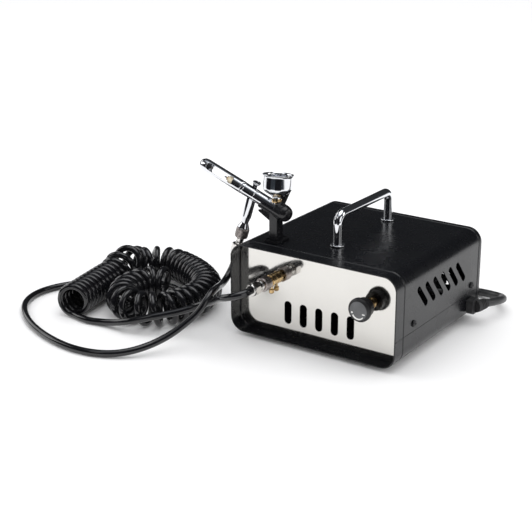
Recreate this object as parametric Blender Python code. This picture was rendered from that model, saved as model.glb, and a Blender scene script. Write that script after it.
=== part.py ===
"""Small piston airbrush compressor with its airbrush, curly air hose and mains lead.

Lengths in this file are millimetres in the case frame: X to the right, Y to the back, Z up,
zero at the case's lower front left corner.  Every mesh is written in metres about the part's
own origin, the middle of the footprint at floor level.
"""
from math import cos, hypot, pi, radians, sin

import bmesh
import bpy
from mathutils import Matrix, Vector

MM = 0.001
GAP = 0.3                       # clearance between neighbouring pieces

# Case
WIDTH, DEPTH, HEIGHT = 165.0, 158.0, 81.0
SHEET = 1.2
CORNER = 13.2
SEAM = 25.6                     # lower edge of the top cover
FOOT_DROP = 4.0                 # the feet's height under the case
FOOT_PLACES = [(20.0, 20.0), (WIDTH - 20, 20.0), (20.0, DEPTH - 20), (WIDTH - 20, DEPTH - 20)]
BEAD_FRONT, BEAD_REAR, BEAD_DEPTH = 13.5, 152.6, 0.6
PANEL_FRONT = 13.3              # front face of the mirror panel, at the crest of the front bead
PANEL_REAR = 147.0
PANEL_SHEET = 1.2
SCREW_Y = (31.3, 140.4)
SCREW_Z = 32.5
TAB_Y = ((28.2, 38.2), (133.6, 146.6))      # tabs of the tray that the side screws pass through

# Side vents: slanted slots with round ends
VENT_COUNT, VENT_PITCH, VENT_HALF_WIDTH = 6, 14.3, 2.9
VENT_TOP, VENT_BOTTOM = (38.5, 60.2), (52.4, 44.4)

# Carry handle
HANDLE_X, HANDLE_Y, HANDLE_Z = 82.0, (44.5, 133.0), 108.5
HANDLE_RADIUS, HANDLE_BEND = 4.0, 8.0
WASHER_RADIUS, WASHER_THICKNESS = 6.5, 1.3

# Airbrush holder: centre of its foot, its post and the screw that holds it from inside
HOLDER_X, HOLDER_Y, POST_Y, SCREW_UP_Y = 30.5, 27.0, 26.0, 23.4

# Front fittings
OUTLET_X, OUTLET_Z = 37.1, 51.0
KNOB_X, KNOB_Z = 132.7, 48.6
FITTING_Y = -13.3               # where the hose nut meets the outlet's tail, and the knob's zero

# Airbrush: the point where its body enters the holder, and its attitude
BRUSH_HEAD = (28.2, 27.5, 110.6)
BRUSH_YAW, BRUSH_PITCH, BRUSH_ROLL, CUP_TILT = radians(-12), radians(13), radians(-8), radians(16)
BODY_RADIUS = 5.6
WINDOW_LEAN = radians(25)       # how far the handle's two rails are turned about its axis
VALVE_AT = 28.5                 # distance of the air valve from the head point
CUP_AT = -1.8

# Motor and compressor, on an axis along X
MOTOR_Y, MOTOR_Z = 92.0, 40.0
CRANK_THROW = 2.5
PISTON_RADIUS = 10.0
SHAFT_RADIUS = 4.0

# Rear of the case
SWITCH_X, SWITCH_Z = 40.0, 50.0
GLAND_Y, GLAND_Z = 136.0, 14.5
LEAD_START = (176.0, 150.5, 14.2)
COIL_CENTRE, COIL_MEAN, COIL_HALF_HEIGHT, COIL_HALF_WIDTH = (36.0, 236.0), 41.0, 7.8, 11.4
PLUG_BACK = (22.0, 272.0)       # where the lead enters the plug, on top of the coil

# Hoses and mains lead
HOSE_RADIUS = 3.15
CURL_RADIUS = 16.0
LEAD_RADIUS = 3.7
FLOOR = -FOOT_DROP

# The case frame's place in the part's frame
SHIFT = Vector((-50.90, -67.70, FOOT_DROP))

PAINT = ("black_paint", (0.018, 0.019, 0.022), 0.32, 0.0)
MIRROR = ("mirror_steel", (0.86, 0.85, 0.82), 0.04, 1.0)
CHROME = ("chrome", (0.80, 0.81, 0.83), 0.07, 1.0)
NICKEL = ("satin_nickel", (0.62, 0.58, 0.54), 0.28, 1.0)
BRASS = ("brass", (0.72, 0.52, 0.24), 0.25, 1.0)
STEEL = ("zinc_steel", (0.56, 0.57, 0.60), 0.35, 1.0)
ALLOY = ("cast_aluminium", (0.62, 0.63, 0.65), 0.45, 1.0)
COPPER = ("copper_wire", (0.62, 0.27, 0.12), 0.35, 1.0)
PLASTIC = ("black_plastic", (0.02, 0.02, 0.022), 0.4, 0.0)
RUBBER = ("black_rubber", (0.025, 0.025, 0.027), 0.7, 0.0)
HOSE = ("hose_polyurethane", (0.010, 0.010, 0.012), 0.12, 0.0)
LEAD = ("lead_pvc", (0.035, 0.036, 0.038), 0.45, 0.0)


def clear_scene():
    for thing in list(bpy.data.objects):
        bpy.data.objects.remove(thing, do_unlink=True)


def material(spec):
    name, colour, roughness, metallic = spec
    found = bpy.data.materials.get(name)
    if found:
        return found
    made = bpy.data.materials.new(name)
    made.use_nodes = True
    shader = made.node_tree.nodes["Principled BSDF"]
    shader.inputs["Base Color"].default_value = (*colour, 1.0)
    shader.inputs["Roughness"].default_value = roughness
    shader.inputs["Metallic"].default_value = metallic
    return made


def place(name, shape, finish, origin=None, parent=None):
    """Turns a bmesh in millimetres into a named object whose origin is at the given point."""
    centre = Vector(origin) if origin else Vector((0, 0, 0))
    bmesh.ops.recalc_face_normals(shape, faces=shape.faces)
    bmesh.ops.transform(shape, matrix=Matrix.Scale(MM, 4) @ Matrix.Translation(-centre),
                        verts=shape.verts)
    mesh = bpy.data.meshes.new(name)
    shape.to_mesh(mesh)
    shape.free()
    mesh.materials.append(material(finish))
    mesh.shade_smooth()
    mesh.set_sharp_from_angle(angle=radians(35))
    thing = bpy.data.objects.new(name, mesh)
    bpy.context.scene.collection.objects.link(thing)
    thing.parent = parent
    thing.location = (centre if parent else centre + SHIFT) * MM
    return thing


def carve(target, *shapes, operation="DIFFERENCE", parent=None):
    """Cuts bmesh shapes out of an object, or joins them on, with an exact Boolean each."""
    for number, shape in enumerate(shapes):
        name = f"{target.name}_{operation.lower()}_{number}"
        tool = place(name, shape, PAINT, parent=parent)
        tool.hide_render = True
        tool.display_type = "WIRE"
        step = target.modifiers.new(name, "BOOLEAN")
        step.operation = operation
        step.solver = "EXACT"
        step.object = tool
    return target


def loft(sections, closed_ends=True):
    """Skins closed loops of points, one after another."""
    shape = bmesh.new()
    rings = [[shape.verts.new(point) for point in section] for section in sections]
    for low, high in zip(rings, rings[1:]):
        count = len(low)
        for i in range(count):
            j = (i + 1) % count
            shape.faces.new((low[i], low[j], high[j], high[i]))
    if closed_ends:
        shape.faces.new(reversed(rings[0]))
        shape.faces.new(rings[-1])
    return shape


def prism(outline, travel):
    """Extrudes a closed outline of 3-D points along a vector."""
    return loft([outline, [Vector(point) + Vector(travel) for point in outline]])


def block(low, high):
    outline = [(low[0], low[1], low[2]), (high[0], low[1], low[2]),
               (high[0], high[1], low[2]), (low[0], high[1], low[2])]
    return prism(outline, (0, 0, high[2] - low[2]))


def frame_about(axis):
    """Two unit vectors square to an axis."""
    along = Vector(axis).normalized()
    guide = Vector((0, 0, 1)) if abs(along.z) < 0.9 else Vector((0, 1, 0))
    across = along.cross(guide).normalized()
    return along, across, across.cross(along)


def turned(profile, base=(0, 0, 0), axis=(0, 0, 1), segments=20, ring=False):
    """Revolves (radius, height) points about an axis: a solid from pole to pole, or a ring."""
    shape = bmesh.new()
    along, across, upward = frame_about(axis)
    loops = []
    for radius, height in profile:
        centre = Vector(base) + along * height
        if radius < 1e-6:
            loops.append([shape.verts.new(centre)])
            continue
        turns = [2 * pi * (i + 0.5) / segments for i in range(segments)]
        loops.append([shape.verts.new(centre + (across * cos(t) + upward * sin(t)) * radius)
                      for t in turns])
    pairs = list(zip(loops, loops[1:]))
    if ring:
        pairs.append((loops[-1], loops[0]))
    for low, high in pairs:
        for i in range(segments):
            j = (i + 1) % segments
            corners = [low[i % len(low)], low[j % len(low)], high[j % len(high)], high[i % len(high)]]
            shape.faces.new(list(dict.fromkeys(corners)))
    if not ring:
        for loop in (loops[0], loops[-1]):
            if len(loop) > 1:
                shape.faces.new(loop)
    return shape


def rod(radius, start, end, segments=16, chamfer=0.0):
    """A plain round bar between two points."""
    span = Vector(end) - Vector(start)
    length = span.length
    if chamfer:
        profile = [(radius - chamfer, 0), (radius, chamfer), (radius, length - chamfer),
                   (radius - chamfer, length)]
    else:
        profile = [(radius, 0), (radius, length)]
    return turned(profile, start, span, segments)


def collar(outer, inner, start, end, segments=20):
    """A plain tube between two points."""
    length = (Vector(end) - Vector(start)).length
    profile = [(outer, 0), (outer, length), (inner, length), (inner, 0)]
    return turned(profile, start, Vector(end) - Vector(start), segments, ring=True)


def arc(centre, radius, start, end, steps):
    """Points of a circular arc in a plane, from one angle to another in degrees."""
    angles = [radians(start + (end - start) * i / steps) for i in range(steps + 1)]
    return [(centre[0] + radius * cos(a), centre[1] + radius * sin(a)) for a in angles]


def rounded(x0, x1, z0, z1, radius, steps=5):
    """A rectangle with round corners, as 2-D points."""
    return (arc((x1 - radius, z1 - radius), radius, 0, 90, steps)
            + arc((x0 + radius, z1 - radius), radius, 90, 180, steps)
            + arc((x0 + radius, z0 + radius), radius, 180, 270, steps)
            + arc((x1 - radius, z0 + radius), radius, 270, 360, steps))


def slot(end_a, end_b, radius, steps=5):
    """A straight slot with round ends between two centres, as 2-D points."""
    slope = Vector((end_b[0] - end_a[0], end_b[1] - end_a[1]))
    heading = slope.angle_signed(Vector((1, 0))) * 180 / pi
    return (arc(end_b, radius, heading - 90, heading + 90, steps)
            + arc(end_a, radius, heading + 90, heading + 270, steps))


def smooth_route(points, count):
    """Evenly spaced points on a Catmull-Rom curve through the given ones."""
    knots = [Vector(p) for p in points]
    knots = [2 * knots[0] - knots[1]] + knots + [2 * knots[-1] - knots[-2]]
    dense = []
    for a, b, c, d in zip(knots, knots[1:], knots[2:], knots[3:]):
        for i in range(24):
            t = i / 24
            dense.append(0.5 * (2 * b + (c - a) * t + (2 * a - 5 * b + 4 * c - d) * t * t
                                + (3 * b - a - 3 * c + d) * t ** 3))
    dense.append(knots[-2])
    walked = [0.0]
    for a, b in zip(dense, dense[1:]):
        walked.append(walked[-1] + (b - a).length)
    route, i = [], 0
    for n in range(count):
        target = walked[-1] * n / (count - 1)
        while i < len(dense) - 2 and walked[i + 1] < target:
            i += 1
        share = (target - walked[i]) / (walked[i + 1] - walked[i])
        route.append(dense[i].lerp(dense[i + 1], min(max(share, 0), 1)))
    return route


def swept(name, points, radius, finish, resolution=2):
    """A round tube along points: a poly spline with a bevel and filled caps."""
    curve = bpy.data.curves.new(name, "CURVE")
    curve.dimensions = "3D"
    curve.bevel_depth = radius * MM
    curve.bevel_resolution = resolution
    curve.use_fill_caps = True
    spline = curve.splines.new("POLY")
    spline.points.add(len(points) - 1)
    for knot, point in zip(spline.points, points):
        knot.co = (*(Vector(point) + SHIFT) * MM, 1.0)
    curve.materials.append(material(finish))
    thing = bpy.data.objects.new(name, curve)
    bpy.context.scene.collection.objects.link(thing)
    return thing


# ---------------------------------------------------------------- case

def shell_outline(edge, far, inset):
    """Section of a channel of sheet: its two edges at one height, its flat web at another."""
    away = 1 if far > edge else -1
    outer_r, inner_r = CORNER - inset, CORNER - inset - SHEET
    centre_z = far - away * CORNER
    left = CORNER

    def half(radius):
        low, high = (180, 90) if away > 0 else (180, 270)
        turn_left = arc((left, centre_z), radius, low, high, 5)
        turn_right = [(WIDTH - x, z) for x, z in reversed(turn_left)]
        start = (CORNER - radius, edge)
        return [start] + turn_left + turn_right + [(WIDTH - start[0], edge)]

    return half(outer_r) + list(reversed(half(inner_r)))


def channel(edge, far):
    """A sheet channel along Y with a formed bead near each end."""
    stations = [(0, 0)]
    for bead in (BEAD_FRONT, BEAD_REAR):
        stations += [(bead - 1.0, 0), (bead, BEAD_DEPTH), (bead + 1.0, 0)]
    stations.append((DEPTH, 0))
    return loft([[(x, y, z) for x, z in shell_outline(edge, far, inset)] for y, inset in stations])


def through_bar(radius, y, z, segments=12):
    return rod(radius, (-3, y, z), (WIDTH + 3, y, z), segments)


def side_vents():
    slots = []
    for number in range(VENT_COUNT):
        step = number * VENT_PITCH
        outline = slot((VENT_TOP[0] + step, VENT_TOP[1]), (VENT_BOTTOM[0] + step, VENT_BOTTOM[1]),
                       VENT_HALF_WIDTH, 4)
        slots.append(prism([(-3, y, z) for y, z in outline], (WIDTH + 6, 0, 0)))
    return slots


def build_case():
    cover = place("top_cover", channel(SEAM, HEIGHT), PAINT)
    holes = [through_bar(1.8, y, SCREW_Z) for y in SCREW_Y]
    holes += [rod(2.6, (HANDLE_X, y, HEIGHT - 3), (HANDLE_X, y, HEIGHT + 3)) for y in HANDLE_Y]
    holes.append(rod(1.9, (HOLDER_X, SCREW_UP_Y, HEIGHT - 3), (HOLDER_X, SCREW_UP_Y, HEIGHT + 3), 12))
    carve(cover, *side_vents(), *holes)

    tray = place("bottom_tray", channel(SEAM - GAP, 0.0), PAINT)
    tabs = []
    for side in (0, 1):
        for front, rear in TAB_Y:
            section = [(0.6, 14), (2.7, 14), (2.7, 39), (1.5, 39), (1.5, SEAM - 1.2), (0.6, SEAM - 1.2)]
            flip = [(WIDTH - x if side else x, front, z) for x, z in section]
            tabs.append(prism(flip, (0, rear - front, 0)))
    carve(tray, *tabs, operation="UNION")
    holes = [through_bar(1.8, y, SCREW_Z) for y in SCREW_Y]
    holes += [rod(2.6, (x, y, -3), (x, y, 4), 12) for x, y in FOOT_PLACES]
    carve(tray, *holes)

    for side, x, outward in (("left", 0.0, -1), ("right", WIDTH, 1)):
        for place_name, y in zip(("front", "rear"), SCREW_Y):
            profile = [(0, 2.2), (1.8, 2.0), (2.8, 1.2), (3.0, GAP), (1.5, GAP), (1.5, -6), (0, -6)]
            screw = turned(profile, (x, y, SCREW_Z), (outward, 0, 0), 12)
            place(f"side_screw_{side}_{place_name}", screw, PLASTIC)

    for number, (x, y) in enumerate(FOOT_PLACES, 1):
        profile = [(0, FLOOR), (6.3, FLOOR), (7.0, FLOOR + 0.8), (6.4, -GAP), (2.3, -GAP),
                   (2.3, SHEET + GAP), (3.4, SHEET + 0.8), (1.6, SHEET + 3.5), (0, SHEET + 3.5)]
        place(f"rubber_foot_{number}", turned(profile, (x, y, 0), (0, 0, 1), 16), RUBBER)


def build_panels():
    inner = SHEET + BEAD_DEPTH + GAP
    outline = rounded(inner, WIDTH - inner, inner, HEIGHT - inner, CORNER - inner)
    sheet = prism([(x, PANEL_FRONT, z) for x, z in outline], (0, PANEL_SHEET, 0))
    front = place("front_panel", sheet, MIRROR)
    cuts = [rod(3.9, (OUTLET_X, 8, OUTLET_Z), (OUTLET_X, 20, OUTLET_Z)),
            rod(3.4, (KNOB_X, 8, KNOB_Z), (KNOB_X, 20, KNOB_Z))]
    for number in range(5):
        x = 51.7 + 15.75 * number
        shape = slot((x, 15.8), (x, 29.6), 3.6)
        cuts.append(prism([(px, 8, pz) for px, pz in shape], (0, 12, 0)))
    carve(front, *cuts)

    inner = SHEET + GAP
    outline = rounded(inner, WIDTH - inner, inner, HEIGHT - inner, CORNER - inner)
    sheet = prism([(x, PANEL_REAR, z) for x, z in outline], (0, PANEL_SHEET, 0))
    rear = place("rear_panel", sheet, PAINT)
    window = rounded(SWITCH_X - 9.9, SWITCH_X + 9.9, SWITCH_Z - 6.9, SWITCH_Z + 6.9, 1.0, 2)
    cuts = [prism([(x, PANEL_REAR - 5, z) for x, z in window], (0, 12, 0))]
    for number in range(6):
        z = 18 + 9 * number
        shape = slot((78, z), (138, z), 1.8, 3)
        cuts.append(prism([(px, PANEL_REAR - 5, pz) for px, pz in shape], (0, 12, 0)))
    carve(rear, *cuts)


def build_handle():
    front, rear = HANDLE_Y
    top = HANDLE_Z
    foot = HEIGHT + WASHER_THICKNESS + 2 * GAP
    bend = HANDLE_BEND
    path = [(front, foot)] + arc((front + bend, top - bend), bend, 180, 90, 6)
    path += arc((rear - bend, top - bend), bend, 90, 0, 6) + [(rear, foot)]
    points = [Vector((HANDLE_X, y, z)) for y, z in path]
    sections = []
    for i, point in enumerate(points):
        ahead = points[min(i + 1, len(points) - 1)] - points[max(i - 1, 0)]
        if i in (0, len(points) - 1):
            ahead = Vector((0, 0, 1 if i == 0 else -1))
        side = Vector((1, 0, 0))
        upward = ahead.normalized().cross(side)
        ring = [2 * pi * (k + 0.5) / 16 for k in range(16)]
        sections.append([point + (side * cos(t) + upward * sin(t)) * HANDLE_RADIUS for t in ring])
    handle = place("carry_handle", loft(sections), CHROME)
    carve(handle, *[rod(2.3, (HANDLE_X, y, foot - 2), (HANDLE_X, y, foot + 10)) for y in HANDLE_Y])
    for name, y in zip(("front", "rear"), HANDLE_Y):
        low = HEIGHT + GAP
        washer = collar(WASHER_RADIUS, 2.4, (HANDLE_X, y, low), (HANDLE_X, y, low + WASHER_THICKNESS))
        place(f"handle_washer_{name}", washer, CHROME)
        head = HEIGHT - SHEET - GAP
        profile = [(0, head - 2.6), (3.6, head - 2.6), (3.6, head), (2.0, head), (2.0, foot + 8),
                   (0, foot + 8)]
        place(f"handle_screw_{name}", turned(profile, (HANDLE_X, y, 0), (0, 0, 1), 12), STEEL)


# ---------------------------------------------------------------- airbrush

def brush_axes():
    """The airbrush's own axes: towards its tail, to its side and up."""
    ahead = Vector((cos(BRUSH_YAW), sin(BRUSH_YAW), 0))
    tail = Vector((0, 0, 1)) * sin(BRUSH_PITCH) - ahead * cos(BRUSH_PITCH)
    upright = Vector((0, 0, 1)) * cos(BRUSH_PITCH) + ahead * sin(BRUSH_PITCH)
    level = upright.cross(tail)
    up = upright * cos(BRUSH_ROLL) + level * sin(BRUSH_ROLL)
    return tail, up.cross(tail), up


def brush_point(along, side=0.0, up=0.0):
    """A point of the airbrush's own frame, in the case frame."""
    tail, level, upright = brush_axes()
    return Vector(BRUSH_HEAD) + tail * along + level * side + upright * up


def brush_empty():
    tail, level, upright = brush_axes()
    turn = Matrix((tail, level, upright)).transposed().to_4x4()
    holder = bpy.data.objects.new("airbrush_frame", None)
    bpy.context.scene.collection.objects.link(holder)
    holder.matrix_world = Matrix.Translation((Vector(BRUSH_HEAD) + SHIFT) * MM) @ turn
    bpy.context.view_layer.update()
    return holder


def holder_gutter():
    """The open rest under the airbrush, from its end cup towards the airbrush's tail."""
    sections = []
    for along, half in ((-8.2, 95), (9.0, 95), (12.5, 82), (14.2, 60)):
        outer = arc((0, 0), 7.25, 270 - half, 270 + half, 12)
        inner = arc((0, 0), 6.25, 270 + half, 270 - half, 12)
        sections.append([(along, y, z) for y, z in outer + inner])
    return loft(sections)


def holder_blade():
    """The tall rest that flares out behind the paint cup's funnel, with a low wall beside it."""
    outline = [(-1.6, -2.0), (-1.1, 1.8), (0.0, 14.4), (4.7, 11.6), (5.7, 4.2), (7.9, 3.6), (7.2, -1.5)]
    inner = [(x, -7.1 - 0.34 * z, z) for x, z in outline]
    outer = [(x, y - 3.0, z) for x, y, z in inner]
    return loft([outer, inner])


def build_holder(brush):
    low = HEIGHT + GAP
    base = rounded(HOLDER_X - 7.5, HOLDER_X + 7.5, HOLDER_Y - 9.7, HOLDER_Y + 9.7, 1.5, 2)
    holder = place("airbrush_holder", prism([(x, y, low) for x, y in base], (0, 0, 2.0)), PLASTIC)
    post = block((HOLDER_X - 4.2, POST_Y - 5, low + 1), (HOLDER_X + 4.2, POST_Y + 5, BRUSH_HEAD[2]))
    carve(holder, post, operation="UNION")
    carve(holder, rod(6.7, (-22, 0, 0), (14, 0, 0), 24), parent=brush)
    profile = [(0, -18.6), (4.5, -17.7), (6.3, -16.0), (7.4, -12.5), (7.4, -4.6), (6.1, -4.6), (6.1, -12.2),
               (3.4, -15.8), (0, -16.2)]
    cup = turned(profile, axis=(1, 0, 0))
    outline = [(15.6, -9.0), (15.2, -10.2), (1.8, -12.2), (-3.5, -13.0), (-3.5, -6.8), (6.5, -6.8)]
    rib = prism([(x, -2.2, z) for x, z in outline], (0, 4.4, 0))
    carve(holder, cup, holder_gutter(), rib, holder_blade(), operation="UNION", parent=brush)
    carve(holder, rod(1.8, (HOLDER_X, SCREW_UP_Y, HEIGHT - 2), (HOLDER_X, SCREW_UP_Y, HEIGHT + 12), 12))
    head = HEIGHT - SHEET - GAP
    profile = [(0, head - 2.0), (2.6, head - 2.0), (2.6, head), (1.5, head), (1.5, HEIGHT + 10),
               (0, HEIGHT + 10)]
    place("holder_screw", turned(profile, (HOLDER_X, SCREW_UP_Y, 0), (0, 0, 1), 12), STEEL)


def build_airbrush(brush):
    along = (1, 0, 0)
    profile = [(1.6, -8), (4.9, -8), (BODY_RADIUS, -7), (BODY_RADIUS, 39.6), (5.2, 40.2), (1.6, 40.2)]
    body = place("airbrush_body", turned(profile, axis=along, ring=True), CHROME, parent=brush)
    mouth = rounded(VALVE_AT - 3.2, VALVE_AT + 7.2, -2.1, 2.1, 1.9, 3)
    trigger_slot = prism([(x, y, -2.2) for x, y in mouth], (0, 0, 11.5))
    well = rod(2.6, (VALVE_AT, 0, -9), (VALVE_AT, 0, 1), 12)
    carve(body, trigger_slot, well, parent=brush)

    profile = [(1.0, -15.2), (2.2, -15.2), (4.6, -11.7), (4.9, -8.3), (1.0, -8.3)]
    place("nozzle_cap", turned(profile, axis=along, segments=16, ring=True), CHROME, parent=brush)

    profile = [(0, 97.8), (3.2, 97.2), (5.0, 94.6), (5.8, 89), (5.8, 41.2), (5.4, 40.5),
               (4.5, 40.5), (4.5, 88), (0, 88)]
    sleeve = place("airbrush_handle", turned(profile, axis=along), CHROME, parent=brush)
    window = [(51.5, -3.2)] + arc((84, 0), 3.2, -90, 90, 8) + [(51.5, 3.2)]
    lean = Matrix.Rotation(WINDOW_LEAN, 3, "X")
    outline = [lean @ Vector((x, -9, z)) for x, z in window]
    carve(sleeve, prism(outline, lean @ Vector((0, 18, 0))), parent=brush)

    tip, end = -14.4, 66.0
    profile = [(0, tip), (0.65, -5), (0.65, end - 0.4), (0.3, end), (0, end)]
    place("needle", turned(profile, axis=along, segments=8), STEEL, parent=brush)
    profile = [(1.0, 52.4), (2.6, 52.4), (3.7, 53.4), (3.7, 58.6), (2.6, 59.9), (1.0, 59.9)]
    place("needle_chuck", turned(profile, axis=along, segments=14, ring=True), BRASS, parent=brush)

    lean = (sin(CUP_TILT), 0, cos(CUP_TILT))
    profile = [(1.3, 3.5), (4.0, 3.5), (4.0, 10.6), (9.5, 13.4), (12.4, 16.2), (12.6, 18), (12.6, 28.2),
               (13.7, 29.0), (13.7, 29.8), (12.9, 29.8), (11.8, 28.6), (11.8, 17.6), (8.8, 14.3),
               (3.0, 11.2), (1.3, 9.5)]
    cup = place("paint_cup", turned(profile, (CUP_AT, 0, 0), lean, 28, ring=True), CHROME, parent=brush)
    carve(cup, rod(BODY_RADIUS + GAP, (-12, 0, 0), (12, 0, 0), 24), parent=brush)

    valve = (VALVE_AT, 0, 0)
    down = (0, 0, -1)
    profile = [(1.6, 2.5), (4.3, 2.5), (4.3, 22), (3.2, 27.5), (3.5, 28.5), (5.4, 32.4), (5.4, 32.9),
               (3.8, 33.1), (3.8, 41), (1.6, 41)]
    socket = place("air_valve_body", turned(profile, valve, down, ring=True), CHROME, parent=brush)
    carve(socket, rod(BODY_RADIUS + GAP, (VALVE_AT - 8, 0, 0), (VALVE_AT + 8, 0, 0), 24), parent=brush)
    place("air_valve_piston", rod(1.2, (VALVE_AT, 0, -15), (VALVE_AT, 0, -2.0), 10), BRASS,
          origin=(VALVE_AT, 0, -2.0), parent=brush)

    build_trigger(brush)

    sleeve = turned([(4.2, 33.4), (5.5, 33.4), (5.9, 34), (5.9, 41.6), (5.5, 42.2), (4.2, 42.2)],
                    valve, down, 20, ring=True)
    place("brush_sleeve", sleeve, NICKEL, origin=(VALVE_AT, 0, -34), parent=brush)
    place("brush_tail", rod(3.4, (VALVE_AT, 0, -49), (VALVE_AT, 0, -41.3), 16), CHROME, parent=brush)
    profile = [(0, 49.3), (5.4, 49.3), (6.2, 50.2), (6.2, 58), (5.0, 61.7), (0, 61.7)]
    place("brush_hose_nut", turned(profile, valve, down, 6), CHROME, parent=brush)


def build_trigger(brush):
    """A finger pad on a stem whose foot straddles the needle."""
    pivot = (VALVE_AT, 0, -1.4)
    stem = [(-0.7, -1.6), (0.7, -1.6), (1.2, -1.1), (1.2, 5.0), (1.0, 10.0), (-1.8, 10.0), (-1.2, 5.0),
            (-1.2, -1.1)]
    lever = prism([(VALVE_AT + x, -1.6, z) for x, z in stem], (0, 3.2, 0))
    trigger = place("trigger", lever, CHROME, origin=pivot, parent=brush)
    profile = [(0, 8.2), (2.9, 9.2), (3.9, 10.8), (3.6, 11.9), (1.8, 11.3), (0, 11.1)]
    pad = turned(profile, (VALVE_AT - 0.6, 0, 0), (-0.05, 0, 1), 14)
    carve(trigger, pad, operation="UNION", parent=brush)
    carve(trigger, block((VALVE_AT - 3, -0.95, -3), (VALVE_AT + 3, 0.95, 3.9)), parent=brush)


# ---------------------------------------------------------------- front fittings

def build_outlet():
    forward = (0, -1, 0)
    base = (OUTLET_X, FITTING_Y, OUTLET_Z)
    profile = [(2.7, -36), (3.6, -36), (3.6, -26.3), (5.3, -26.3), (5.3, -20.2), (4.6, -19.6), (4.1, -19.6),
               (4.1, -8), (2.7, -8)]
    place("outlet_fitting", turned(profile, base, forward, ring=True), BRASS)
    profile = [(4.5, -16), (5.8, -16), (6.3, -15.4), (6.3, -7.6), (5.8, -7.0), (4.5, -7.0)]
    place("outlet_sleeve", turned(profile, base, forward, ring=True), NICKEL,
          origin=(OUTLET_X, FITTING_Y + 11.5, OUTLET_Z))
    profile = [(0, -15), (2.3, -15), (2.3, -7.7), (4.2, -7.0), (4.7, -6.4), (4.7, 0.0), (4.2, 0.4), (0, 0.4)]
    place("outlet_tail", turned(profile, base, forward), CHROME)
    profile = [(0, 0.7), (5.4, 0.7), (6.3, 1.6), (6.3, 7.0), (5.0, 9.3), (0, 9.3)]
    place("outlet_hose_nut", turned(profile, base, forward, 6), CHROME)
    profile = [(0, 5.7), (1.2, 5.7), (1.2, 8.0), (2.3, 8.4), (2.3, 11.6), (1.6, 12.2), (0, 12.2)]
    centre = (OUTLET_X, FITTING_Y + 22.8, OUTLET_Z)
    place("bleed_screw", turned(profile, centre, (0, 0, -1), 12), BRASS,
          origin=(OUTLET_X, FITTING_Y + 22.8, OUTLET_Z - 9))


def build_knob():
    forward = (0, -1, 0)
    base = (KNOB_X, FITTING_Y, KNOB_Z)
    profile = [(0, -7.5), (8.8, -7.5), (10.4, -9.2), (10.4, -12.2), (8.4, -13.2), (8.4, -19.7),
               (3.4, -19.7), (3.4, -11), (0, -11)]
    place("pressure_knob", turned(profile, base, forward, 28), PLASTIC, origin=(KNOB_X, FITTING_Y + 13.0, KNOB_Z))
    profile = [(0, -11.3), (3.1, -11.3), (3.1, -20.2), (4.8, -20.4), (4.8, -26.2), (3.0, -26.2),
               (3.0, -42), (0, -42)]
    place("regulator_stem", turned(profile, base, forward, 16), BRASS, origin=(KNOB_X, FITTING_Y + 26, KNOB_Z))
    body = block((KNOB_X - 12, PANEL_FRONT + PANEL_SHEET + GAP, KNOB_Z - 12),
                 (KNOB_X + 12, 36.7, KNOB_Z + 12))
    housing = place("regulator_body", body, ALLOY)
    carve(housing, rod(3.4, (KNOB_X, 8, KNOB_Z), (KNOB_X, 32, KNOB_Z)))


# ---------------------------------------------------------------- motor and compressor

def motor_point(x, y=0.0, z=0.0):
    return (x, MOTOR_Y + y, MOTOR_Z + z)


def build_motor():
    outline = rounded(-23, 23, -23, 23, 5, 3)
    stator = place("motor_stator", prism([motor_point(90, y, z) for y, z in outline], (30, 0, 0)), STEEL)
    carve(stator, rod(20.3, motor_point(85), motor_point(125), 24))
    place("motor_windings", collar(20.0, 14.4, motor_point(82), motor_point(128), 24), COPPER)
    profile = [(0, 62.6), (SHAFT_RADIUS, 62.6), (SHAFT_RADIUS, 86), (13.8, 86), (13.8, 124),
               (SHAFT_RADIUS, 124), (SHAFT_RADIUS, 152), (0, 152)]
    place("rotor_shaft", turned(profile, motor_point(0), (1, 0, 0), 20), STEEL, origin=motor_point(105))

    cradle = [(-4, 7.0), (66, 7.0), (66, 62), (63.5, 62), (63.5, 9.5), (-1.5, 9.5), (-1.5, 62), (-4, 62)]
    strap = prism([(74 + x, MOTOR_Y - 18, z) for x, z in cradle], (0, 36, 0))
    bracket = place("motor_bracket", strap, STEEL)
    pads = [block((84, MOTOR_Y - 15, 8.5), (126, MOTOR_Y - 9, MOTOR_Z - 23 - GAP)),
            block((84, MOTOR_Y + 9, 8.5), (126, MOTOR_Y + 15, MOTOR_Z - 23 - GAP)),
            block((74, MOTOR_Y - 15, SHEET + GAP), (80, MOTOR_Y + 15, 8.0)),
            block((130, MOTOR_Y - 15, SHEET + GAP), (136, MOTOR_Y + 15, 8.0))]
    carve(bracket, *pads, operation="UNION")
    carve(bracket, rod(8.3, motor_point(66), motor_point(144), 20))
    for side, x in (("left", 69.5), ("right", 136.5)):
        bearing = collar(8.0, SHAFT_RADIUS + GAP, motor_point(x), motor_point(x + 4), 16)
        place(f"bearing_{side}", bearing, STEEL)


def build_fan():
    blades, outline = 7, []
    hub, tip = 8.0, 27.0
    for number in range(blades):
        heading = 360 / blades * number
        for radius, spread in ((hub, -14), (tip, -4), (tip, 10), (hub, 10)):
            angle = radians(heading + spread)
            outline.append((radius * cos(angle), radius * sin(angle)))
    wheel = prism([motor_point(143, y, z) for y, z in outline], (8, 0, 0))
    fan = place("cooling_fan", wheel, PLASTIC, origin=motor_point(147))
    carve(fan, rod(SHAFT_RADIUS + GAP, motor_point(140), motor_point(156)))


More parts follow.
